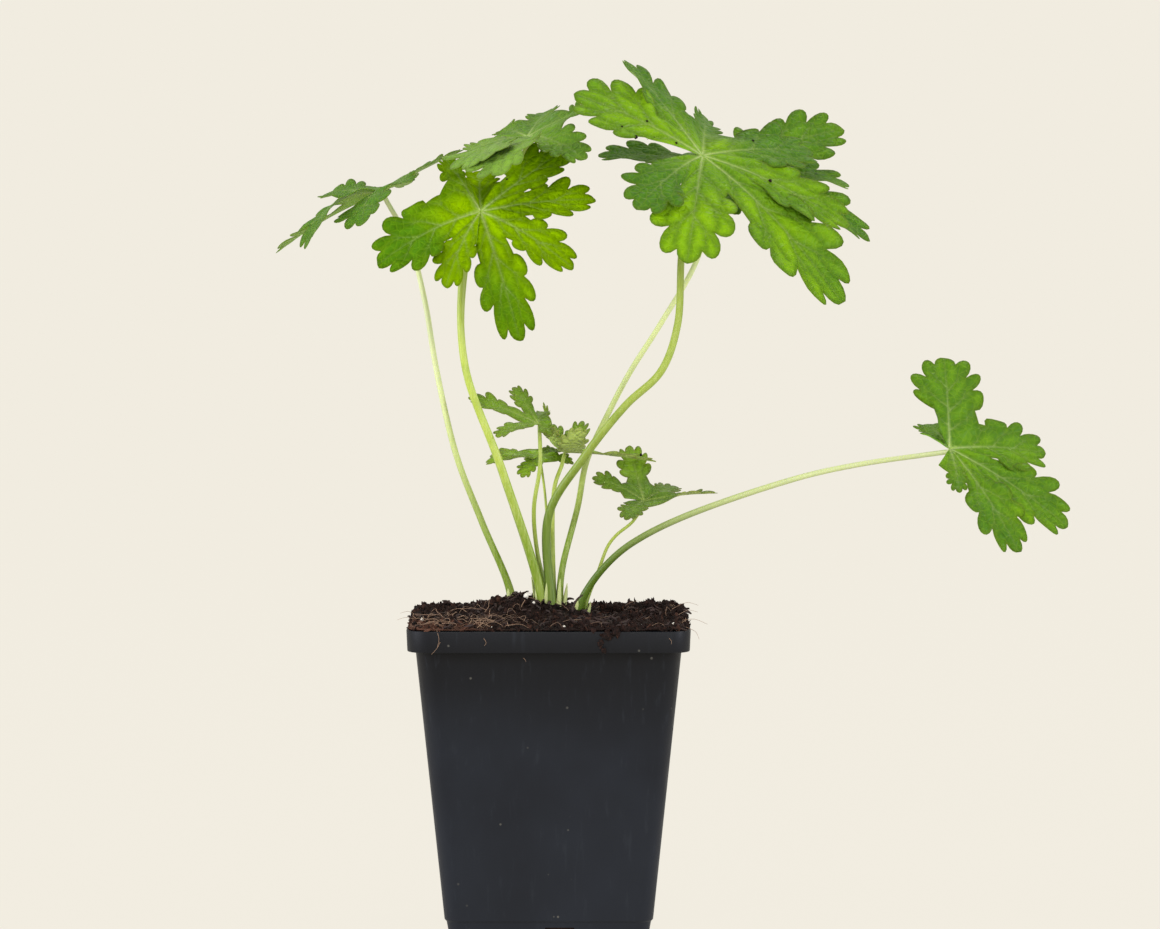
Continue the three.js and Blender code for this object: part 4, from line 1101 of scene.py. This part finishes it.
def pottingSoil():
    sideSteps, cornerSteps, gap = soil["sideSteps"], soil["cornerSteps"], soil["clearance"]

    def bed(z, inset=0.0):
        return potRing(wallAt(z) - pot["wall"] - gap - inset, z, sideSteps, cornerSteps)

    seat = pot["height"] + gap
    edge = pot["rimHalf"] - soil["spill"]
    rings = [bed(pot["floor"] + gap, pot["footStep"]), bed(pot["footHeight"], pot["footStep"]),
             bed(pot["footHeight"] + soil["toe"]), bed(pot["height"] - 1),
             potRing(wallAt(pot["height"] - 1) - pot["wall"] - gap, seat, sideSteps, cornerSteps),
             potRing(edge - soil["lip"], seat, sideSteps, cornerSteps)]
    ringsBelow = len(rings)
    for k in range(soil["rings"]):
        share = 1 - soil["inward"] * k / (soil["rings"] - 1)
        ring = squareRing(edge * share, soil["corner"] * share, 0, sideSteps, cornerSteps)
        for point in ring:
            point[2] = soilHeight(point[0], point[1]) - (soil["edgeDrop"] if k == 0 else 0)
            point[:] = crumbled(point)
            point[2] = max(point[2], seat + soil["lowest"][min(k, 1)])
        rings.append(ring)
    points, shell = np.vstack(rings), loftFaces(len(rings), len(rings[0]))
    (dryX, dryY), run = soil["dryFrom"], soil["dryRun"]
    dry = [soil["dryTint"] * smooth((dryX - p[0]) / run) * smooth((dryY - p[1]) / run) for p in points]
    body = meshObject("pottingSoil", points, shell, tint=dry)
    first = (ringsBelow - 1) * len(rings[0])  # the soil that shows starts at this point and this face
    topFaces = [tuple(k - first for k in face) for face in shell[first:-2]]
    emitter = meshObject("soilTop", points[first:], topFaces, tint=dry[first:])
    pieces, emitters = [body], [emitter]
    draw, clods = random.Random(soil["seed"]), list(soil["clods"])
    for _ in range(soil["strewnClods"]):
        x, y, radius = draw.uniform(-42, 42), draw.uniform(-43, 42), draw.uniform(*soil["strewnSize"])
        if abs(x) < soil["amongStalks"][0] and abs(y) < soil["amongStalks"][1]:
            radius *= 0.5  # only crumbs lie between the stalks
        clods.append((x, y, soilHeight(x, y) - 0.25 * radius, radius))
    for k, (x, y, z, radius) in enumerate(clods):
        ball, faces = lumpyBall((x, y, z), radius, 11.3 * (k + 1))
        pieces.append(meshObject("clod", ball, faces, tint=[0.0] * len(ball)))
        emitters.append(meshObject("clodTop", ball, faces, tint=[0.0] * len(ball)))
    piece = joined("pottingSoil", pieces)
    piece.data.materials.append(peat)
    shadeSmooth(piece)
    finishPiece(piece, "soil", "soil")
    return piece, joined("soilTop", emitters)


soilPiece, soilTop = pottingSoil()
print("soil:", len(soilPiece.data.polygons))


crumbs = {  # density is grains per square metre
    "crumbs": {"density": 186000, "size": 1.08, "fineness": 2, "seed": 21},
    "grit": {"density": 420000, "size": 0.55, "fineness": 1, "seed": 22},
}
grain = {"smallest": (0.4, 0.25, 0.15), "largest": (1.5, 0.8, 0.45), "push": 3.0, "tint": (-0.6, 0.3)}


def crumbTree(name):
    tree, given = newTree(name, {
        "Density": ("Float", 100000.0), "Size": ("Float", mm), "Fineness": ("Int", 2), "Seed": ("Int", 1),
        "Material": ("Material", None)})
    cloud = addNode(tree, "GeometryNodeDistributePointsOnFaces", {
        "Mesh": given["Geometry"], "Density": given["Density"], "Seed": given["Seed"]})
    ball = addNode(tree, "GeometryNodeMeshIcoSphere", {"Radius": 1.0, "Subdivisions": given["Fineness"]})
    spread = addNode(tree, "ShaderNodeTexNoise", {"Scale": 1.1, "Detail": 2.0}, noise_dimensions="3D")
    offset = addNode(tree, "ShaderNodeVectorMath", {0: spread.outputs[1], 1: (0.5, 0.5, 0.5)},
                     operation="SUBTRACT")
    push = addNode(tree, "ShaderNodeVectorMath", {0: offset.outputs[0], "Scale": grain["push"]},
                   operation="SCALE")
    lump = addNode(tree, "GeometryNodeSetPosition", {"Geometry": ball.outputs[0], "Offset": push.outputs[0]})
    turn = addNode(tree, "FunctionNodeRandomValue", {
        0: (0.0, 0.0, 0.0), 1: (6.28, 6.28, 6.28), "Seed": given["Seed"]}, data_type="FLOAT_VECTOR")
    shape = addNode(tree, "FunctionNodeRandomValue", {
        0: grain["smallest"], 1: grain["largest"], "Seed": given["Seed"]}, data_type="FLOAT_VECTOR")
    sized = addNode(tree, "ShaderNodeVectorMath", {0: shape.outputs[0], "Scale": given["Size"]},
                    operation="SCALE")
    grains = addNode(tree, "GeometryNodeInstanceOnPoints", {
        "Points": cloud.outputs["Points"], "Instance": lump.outputs[0], "Rotation": turn.outputs[0],
        "Scale": sized.outputs[0]})
    dry = addNode(tree, "GeometryNodeInputNamedAttribute", {"Name": "tint"}, data_type="FLOAT").outputs[0]
    chance = addNode(tree, "FunctionNodeRandomValue", {2: grain["tint"][0], 3: grain["tint"][1], "Seed": 77},
                     data_type="FLOAT")
    tint = addNode(tree, "ShaderNodeMath", {0: dry, 1: chance.outputs[1]}, operation="ADD")
    dyed = addNode(tree, "GeometryNodeStoreNamedAttribute", {
        "Geometry": grains.outputs[0], "Name": "tint", "Value": tint.outputs[0]},
        data_type="FLOAT", domain="INSTANCE")
    closeTree(tree, dyed.outputs[0], given["Material"])
    return tree


crumbTreeBuilt = crumbTree("crumbs on soil")


def looseCrumbs(name, density, size, fineness, seed):
    # grains over a copy of the soil's top, without the copy itself
    cover = soilTop.copy()
    cover.data = soilTop.data.copy()
    cover.name = name
    bpy.context.scene.collection.objects.link(cover)
    runTree(cover, crumbTreeBuilt, Density=float(density), Size=size * mm, Fineness=fineness, Seed=seed,
            Material=peat)
    return finishPiece(cover, "soil")


crumbPieces = [looseCrumbs(name, **row) for name, row in crumbs.items()]
bpy.data.objects.remove(soilTop)
print("crumbs:", [len(piece.data.polygons) for piece in crumbPieces])


# root and moss fibres

fibres = {
    "count": 90, "seed": 5, "length": (4, 16), "radius": (0.05, 0.13), "steps": 8, "lift": (0.4, 2.2),
    "above": 0.4, "turn": 0.7, "taper": 0.6, "atLeftFront": 0.6,
}


def strayFibres():
    # fine roots that lie on the soil in loose arches, most of them at the left front
    draw, steps = random.Random(fibres["seed"]), fibres["steps"]
    paths = []
    for _ in range(fibres["count"]):
        left = draw.random() < fibres["atLeftFront"]
        x = draw.uniform(-43, -8) if left else draw.uniform(-30, 43)
        y = draw.uniform(-44, -8) if left else draw.uniform(-44, 40)
        heading = draw.uniform(0, 2 * math.pi)
        length = draw.uniform(*fibres["length"])
        lift, path = draw.uniform(*fibres["lift"]), []
        for step in range(steps + 1):
            arch = lift * math.sin(math.pi * (step / steps))
            path.append((x, y, soilHeight(x, y) + fibres["above"] + arch))
            heading += draw.uniform(-fibres["turn"], fibres["turn"])
            x = max(-44, min(44, x + math.cos(heading) * length / steps))
            y = max(-44.5, min(44, y + math.sin(heading) * length / steps))
        line, share, _ = smoothPath(path, 0.8)
        thick = draw.uniform(*fibres["radius"])
        paths.append((line, thick * (1 - fibres["taper"] * share), {}))
    return finishPiece(tubesAlong("strayFibres", paths, 5, fibre), "rootstock")


fibrePiece = strayFibres()
print("fibres:", len(fibrePiece.data.polygons))

litter = {
    "seed": 8, "count": 700, "length": (1.6, 5.4), "radius": (0.18, 0.55), "onMounds": 0.5,
    "lift": (-0.3, 0.32), "steps": 7, "turn": 0.6, "bend": (-0.5, 0.3), "depth": (-0.5, 0.4),
    "moundReach": 0.55, "strand": (0.08, 0.04),
    "overRim": [[(42, -18, 103), (45, -20, 104.6), (48, -22, 104.2)],
                [(43, -25, 101.8), (47, -28, 102.4), (51, -30, 101)],
                [(40, -5, 103.6), (45, -8, 106), (48.5, -9, 105.2)],
                [(-42, -15, 102), (-45.5, -18, 104), (-48, -20, 103.6)],
                [(-43, -18, 101.5), (-46.5, -21, 102.3), (-49, -22, 101.6)],
                [(44, -40, 101), (47, -42, 99.6), (48, -44, 97.5)]],
    "onRim": [[(-35.5, -45.1, 100.4), (-34.8, -46.1, 97.6), (-35.4, -46.2, 95)],
              [(-34.4, -46.1, 96.8), (-35.6, -46.1, 94.6), (-37.2, -45.9, 92.8)],
              [(-20.6, -45.9, 98), (-19.8, -46.1, 96.6), (-20.4, -46, 95.6)],
              [(38.4, -45.9, 98), (39.2, -46.1, 97), (39, -46, 96)],
              [(-8, -43.3, 91.4), (-7.4, -43.3, 90.8), (-7.2, -43.3, 90.2)]],
    "loose": 104,  # beads above this height hang among the stalks, and the others lie on the soil
    "beads": [(-7.5, -6, 108, 0.75), (-5, -8, 106, 0.4), (30, -38, 102.6, 0.45), (-18, -40, 102.2, 0.35),
              (5, -42, 102, 0.4), (40, -30, 102.8, 0.4), (36, -42, 101.6, 0.45), (-41, -20, 102.6, 0.5)],
}


def barkShreds():
    # curled shreds of bark and peat that stand out of the soil and make its outline ragged
    draw = random.Random(litter["seed"])
    paths = []
    share = np.linspace(0, 1, litter["steps"] + 1)
    spindle = 0.25 + 0.75 * np.sin(math.pi * (0.08 + 0.84 * share))
    for _ in range(litter["count"]):
        if draw.random() < litter["onMounds"]:
            cx, cy, _, reach = draw.choice(soil["mounds"])
            spread = reach * litter["moundReach"]
            x, y = cx + draw.gauss(0, spread), cy + draw.gauss(0, spread)
        else:
            x, y = draw.uniform(-44, 44), draw.uniform(-44, 44)
        x, y = max(-43.5, min(43.5, x)), max(-43.5, min(43.5, y))
        spot = Vector((x, y, soilHeight(x, y) + draw.uniform(*litter["depth"])))
        heading, rise = draw.uniform(0, 2 * math.pi), draw.uniform(*litter["lift"])
        step = draw.uniform(*litter["length"]) / litter["steps"]
        path = []
        for _ in share:
            path.append(tuple(spot))
            spot = spot + Vector((math.cos(heading), math.sin(heading), rise)).normalized() * step
            heading += draw.uniform(-litter["turn"], litter["turn"])
            rise += draw.uniform(*litter["bend"])
        paths.append((np.array(path), draw.uniform(*litter["radius"]) * spindle, {}))
    return finishPiece(tubesAlong("barkShreds", paths, 5, darkBark), "soil")


def looseStrands():
    # single root hairs that hang over the rim or cling to the pot
    paths = []
    thick, taper = litter["strand"]
    for path in litter["overRim"] + litter["onRim"]:
        line, share, _ = smoothPath(path, 0.6)
        paths.append((line, thick - taper * share, {}))
    return finishPiece(tubesAlong("strands", paths, 5, fibre), "rootstock")


def perliteBeads():
    beads = []
    for k, (x, y, z, radius) in enumerate(litter["beads"]):
        z = z if z > litter["loose"] else soilHeight(x, y) + radius
        ball, faces = lumpyBall((x, y, z), radius, 3.7 * (k + 1))
        beads.append(meshObject("bead", ball, faces))
    beads = joined("perliteBeads", beads)
    beads.data.materials.append(pumice)
    shadeSmooth(beads)
    return finishPiece(beads, "soil")


litterPieces = [barkShreds(), looseStrands(), perliteBeads()]
print("litter:", [len(piece.data.polygons) for piece in litterPieces])


# rhizome, roots and sheaths

rhizome = {
    "path": [(-15, 4, 93), (-10, 2, 96), (-3, 1, 94.5), (4, 1, 93.5), (10, 2, 93), (14, 3, 91)],
    "radius": 3.6,
    "roots": [[(-12, 3, 93), (-24, 10, 70), (-22, 16, 34)], [(-6, 1, 92), (-10, -8, 66), (-16, -14, 20)],
              [(1, 1, 92), (3, 6, 60), (0, 12, 14)], [(7, 1, 91), (14, -6, 64), (18, -12, 26)],
              [(12, 3, 90), (22, 8, 72), (24, 14, 40)]],
    "rootRadius": 1.5, "rootTip": 0.5, "knobs": 34,
}


def rootstockPiece():
    line, share, _ = smoothPath(rhizome["path"], 0.9)
    knobs = 0.62 + 0.38 * np.sin(math.pi * share) + 0.07 * np.sin(share * rhizome["knobs"])
    paths = [(line, rhizome["radius"] * knobs, {})]
    for root in rhizome["roots"]:
        line, share, _ = smoothPath(root, 1.5)
        taper = rhizome["rootTip"] - rhizome["rootRadius"]
        paths.append((line, rhizome["rootRadius"] + taper * share, {}))
    return finishPiece(tubesAlong("rhizome", paths, 10, rhizomeBark), "rootstock", "rootstock")


rhizomePiece = rootstockPiece()
print("rhizome:", len(rhizomePiece.data.polygons))

crown = {  # sheaths: x, y, the way each faces, height, width and lean
    "sheaths": [(-3.6, -2.2, 0, 8, 0.8, -0.1), (-0.9, -3.1, 0.3, 9, 0.8, 0.03),
                (2.9, -2.8, -0.2, 10, 0.85, 0.07), (4.9, -0.2, 0.4, 8, 0.8, 0.12),
                (-4.4, 0.6, 1.2, 8, 0.9, -0.18), (8.4, -1.6, 0.2, 4, 0.9, 0.25),
                (12.6, 2.4, 0.5, 4.5, 0.7, 0.2), (-12.9, 0.4, 0.1, 4, 0.7, -0.15),
                (1.0, 4.6, 2.9, 7, 0.9, 0.0)],
    "steps": 8, "sides": 10, "thickness": 0.14, "depth": 1.5, "tip": 0.08, "taper": 2.2, "belly": 0.25,
    "bow": 0.45, "deadStalk": [(7.2, -6.5, 101.5), (7.9, -6.3, 104.4), (9.2, -6, 107), (11, -6, 108.3)],
    "deadRadius": 0.5,
}


def crownSheaths():
    # papery scales that wrap the feet of the stalks
    pieces = []
    for x, y, facing, height, width, lean in crown["sheaths"]:
        foot = soilHeight(x, y) - crown["depth"]
        across = np.array([math.cos(facing), math.sin(facing), 0])
        outward = np.array([math.sin(facing), -math.cos(facing), 0])
        rings = []
        for t in np.linspace(0, 1, crown["steps"] + 1):
            w = width * (1 - t ** crown["taper"]) + crown["tip"]
            middle = np.array([x + lean * height * t, y, foot + height * t])
            middle = middle + outward * crown["belly"] * math.sin(3 * t)
            ring = []
            for k in range(crown["sides"]):
                angle = 2 * math.pi * k / crown["sides"]
                bow = -crown["bow"] * w * math.cos(angle) ** 2
                ring.append(middle + across * w * math.cos(angle)
                            + outward * (crown["thickness"] * math.sin(angle) + bow))
            rings.append(ring)
        pieces.append(meshObject("sheath", np.vstack(rings), loftFaces(len(rings), crown["sides"])))
    scales = joined("crownSheaths", pieces)
    scales.data.materials.append(papery)
    shadeSmooth(scales)
    return finishPiece(scales, "stalk")


def deadStalk():
    line, share, _ = smoothPath(crown["deadStalk"], 0.6)
    piece = tubesAlong("deadStalk", [(line, crown["deadRadius"] * (1 - 0.5 * share), {})], 8, darkBark)
    return finishPiece(piece, "rootstock")


crownPieces = [crownSheaths(), deadStalk()]
print("crown:", [len(piece.data.polygons) for piece in crownPieces])

specks = {
    "c": [(28, -18, 257, 0.6), (34, -15, 257, 0.65), (31.7, -11, 262.3, 0.4), (71.3, -14.4, 243, 0.55),
          (41, -14, 255, 0.4), (66.3, 0.3, 255.8, 0.4), (24, -17, 261, 0.3)],
    "h": [(30.1, 15.2, 152.7, 0.45), (28, 13, 148, 0.3)],
    "b": [(-14, -8, 244, 0.3), (-30, -20, 222, 0.25)],
}


def soilSpecks():
    # crumbs of soil that lie on the leaves
    pieces = []
    for name, spots in specks.items():
        for k, (x, y, z, radius) in enumerate(spots):
            _, place, normal, _ = bladePieces[name].closest_point_on_mesh(Vector((x, y, z)) * mm)
            ball, faces = lumpyBall(place / mm + normal * radius * 0.3, radius, 5.3 * (k + 1))
            pieces.append(meshObject("speck", ball, faces, tint=[0.0] * len(ball)))
    piece = joined("soilSpecks", pieces)
    piece.data.materials.append(peat)
    shadeSmooth(piece)
    return finishPiece(piece, "soil")


speckPiece = soilSpecks()
print("specks:", len(speckPiece.data.polygons))


# floor, light and camera

studio = {
    "paper": "#f2ede1", "paperDim": "#1c1b19", "glow": 0.983, "sky": "#f4f6ff", "skyStrength": 0.42,
    "front": 9000, "side": 9000, "back": 4500, "sweep": 900, "height": 5000, "under": 0.3, "curveSteps": 32,
}


def paleStudio():
    # a paper sweep: flat under the pot, curved up behind it, and lit on its own so that it reads even
    steps = studio["curveSteps"]
    profile = [(-studio["front"], -studio["under"]), (studio["back"], -studio["under"])]
    for step in range(1, steps + 1):
        angle = step / steps * math.pi / 2
        profile.append((studio["back"] + studio["sweep"] * math.sin(angle),
                        studio["sweep"] * (1 - math.cos(angle)) - studio["under"]))
    profile.append((studio["back"] + studio["sweep"], studio["height"]))
    points = [(x, y, z) for y, z in profile for x in (-studio["side"], studio["side"])]
    faces = [(2 * k, 2 * k + 1, 2 * k + 3, 2 * k + 2) for k in range(len(profile) - 1)]
    floor = meshObject("floor", points, faces)
    shadeSmooth(floor)
    material, tree, shader, _ = newMaterial("paper sweep")
    plug(tree, shader, {
        "Base Color": linear(studio["paperDim"]), "Roughness": 0.95, "Specular IOR Level": 0.0,
        "Emission Color": linear(studio["paper"]), "Emission Strength": studio["glow"]})
    floor.data.materials.append(material)
    world = bpy.data.worlds.new("studio")
    world.use_nodes = True
    plug(world.node_tree, world.node_tree.nodes["Background"],
         {"Color": linear(studio["sky"]), "Strength": studio["skyStrength"]})
    bpy.context.scene.world = world


def areaLight(name, place, target, size, power, colour):
    light = bpy.data.lights.new(name, "AREA")
    light.shape, light.size, light.energy = "DISK", size, power
    light.color = linear(colour)[:3]
    lamp = bpy.data.objects.new(name, light)
    lamp.location = place
    lamp.rotation_euler = (Vector(target) - Vector(place)).to_track_quat("-Z", "Y").to_euler()
    bpy.context.scene.collection.objects.link(lamp)


paleStudio()
lights = {  # place, target and size in metres, then watts and colour
    "key": ((-0.45, -1.25, 1.15), (0.02, 0, 0.18), 0.45, 12, "#fffaf0"),
    "front": ((0.6, -1.7, 0.5), (0.02, 0, 0.2), 1.0, 12, "#fffdf8"),
    "top": ((0.3, 0.5, 1.3), (0.02, 0, 0.18), 0.5, 5, "#fff8e8"),
    "leftStrip": ((-1.5, -0.5, 0.42), (0, 0, 0.08), 0.6, 18, "#f0f3ff"),
    "rightStrip": ((1.5, -0.5, 0.42), (0, 0, 0.08), 0.6, 12.5, "#f0f3ff"),
}
for name, row in lights.items():
    areaLight(name, *row)

# the camera stands level with the leaves and looks a little down: place and clip in metres
view = {"place": (0.01005, -1.693, 0.257), "down": 3.6, "sensor": 36, "lens": 161.35, "clip": (0.05, 100)}
camera = bpy.data.objects.new("camera", bpy.data.cameras.new("camera"))
camera.location = view["place"]
camera.rotation_euler = (math.radians(90 - view["down"]), 0, 0)
camera.data.sensor_width = view["sensor"]
camera.data.lens = view["lens"]
camera.data.clip_start, camera.data.clip_end = view["clip"]
bpy.context.scene.collection.objects.link(camera)
bpy.context.scene.camera = camera
bpy.context.scene.view_settings.view_transform = "Standard"

print("done")
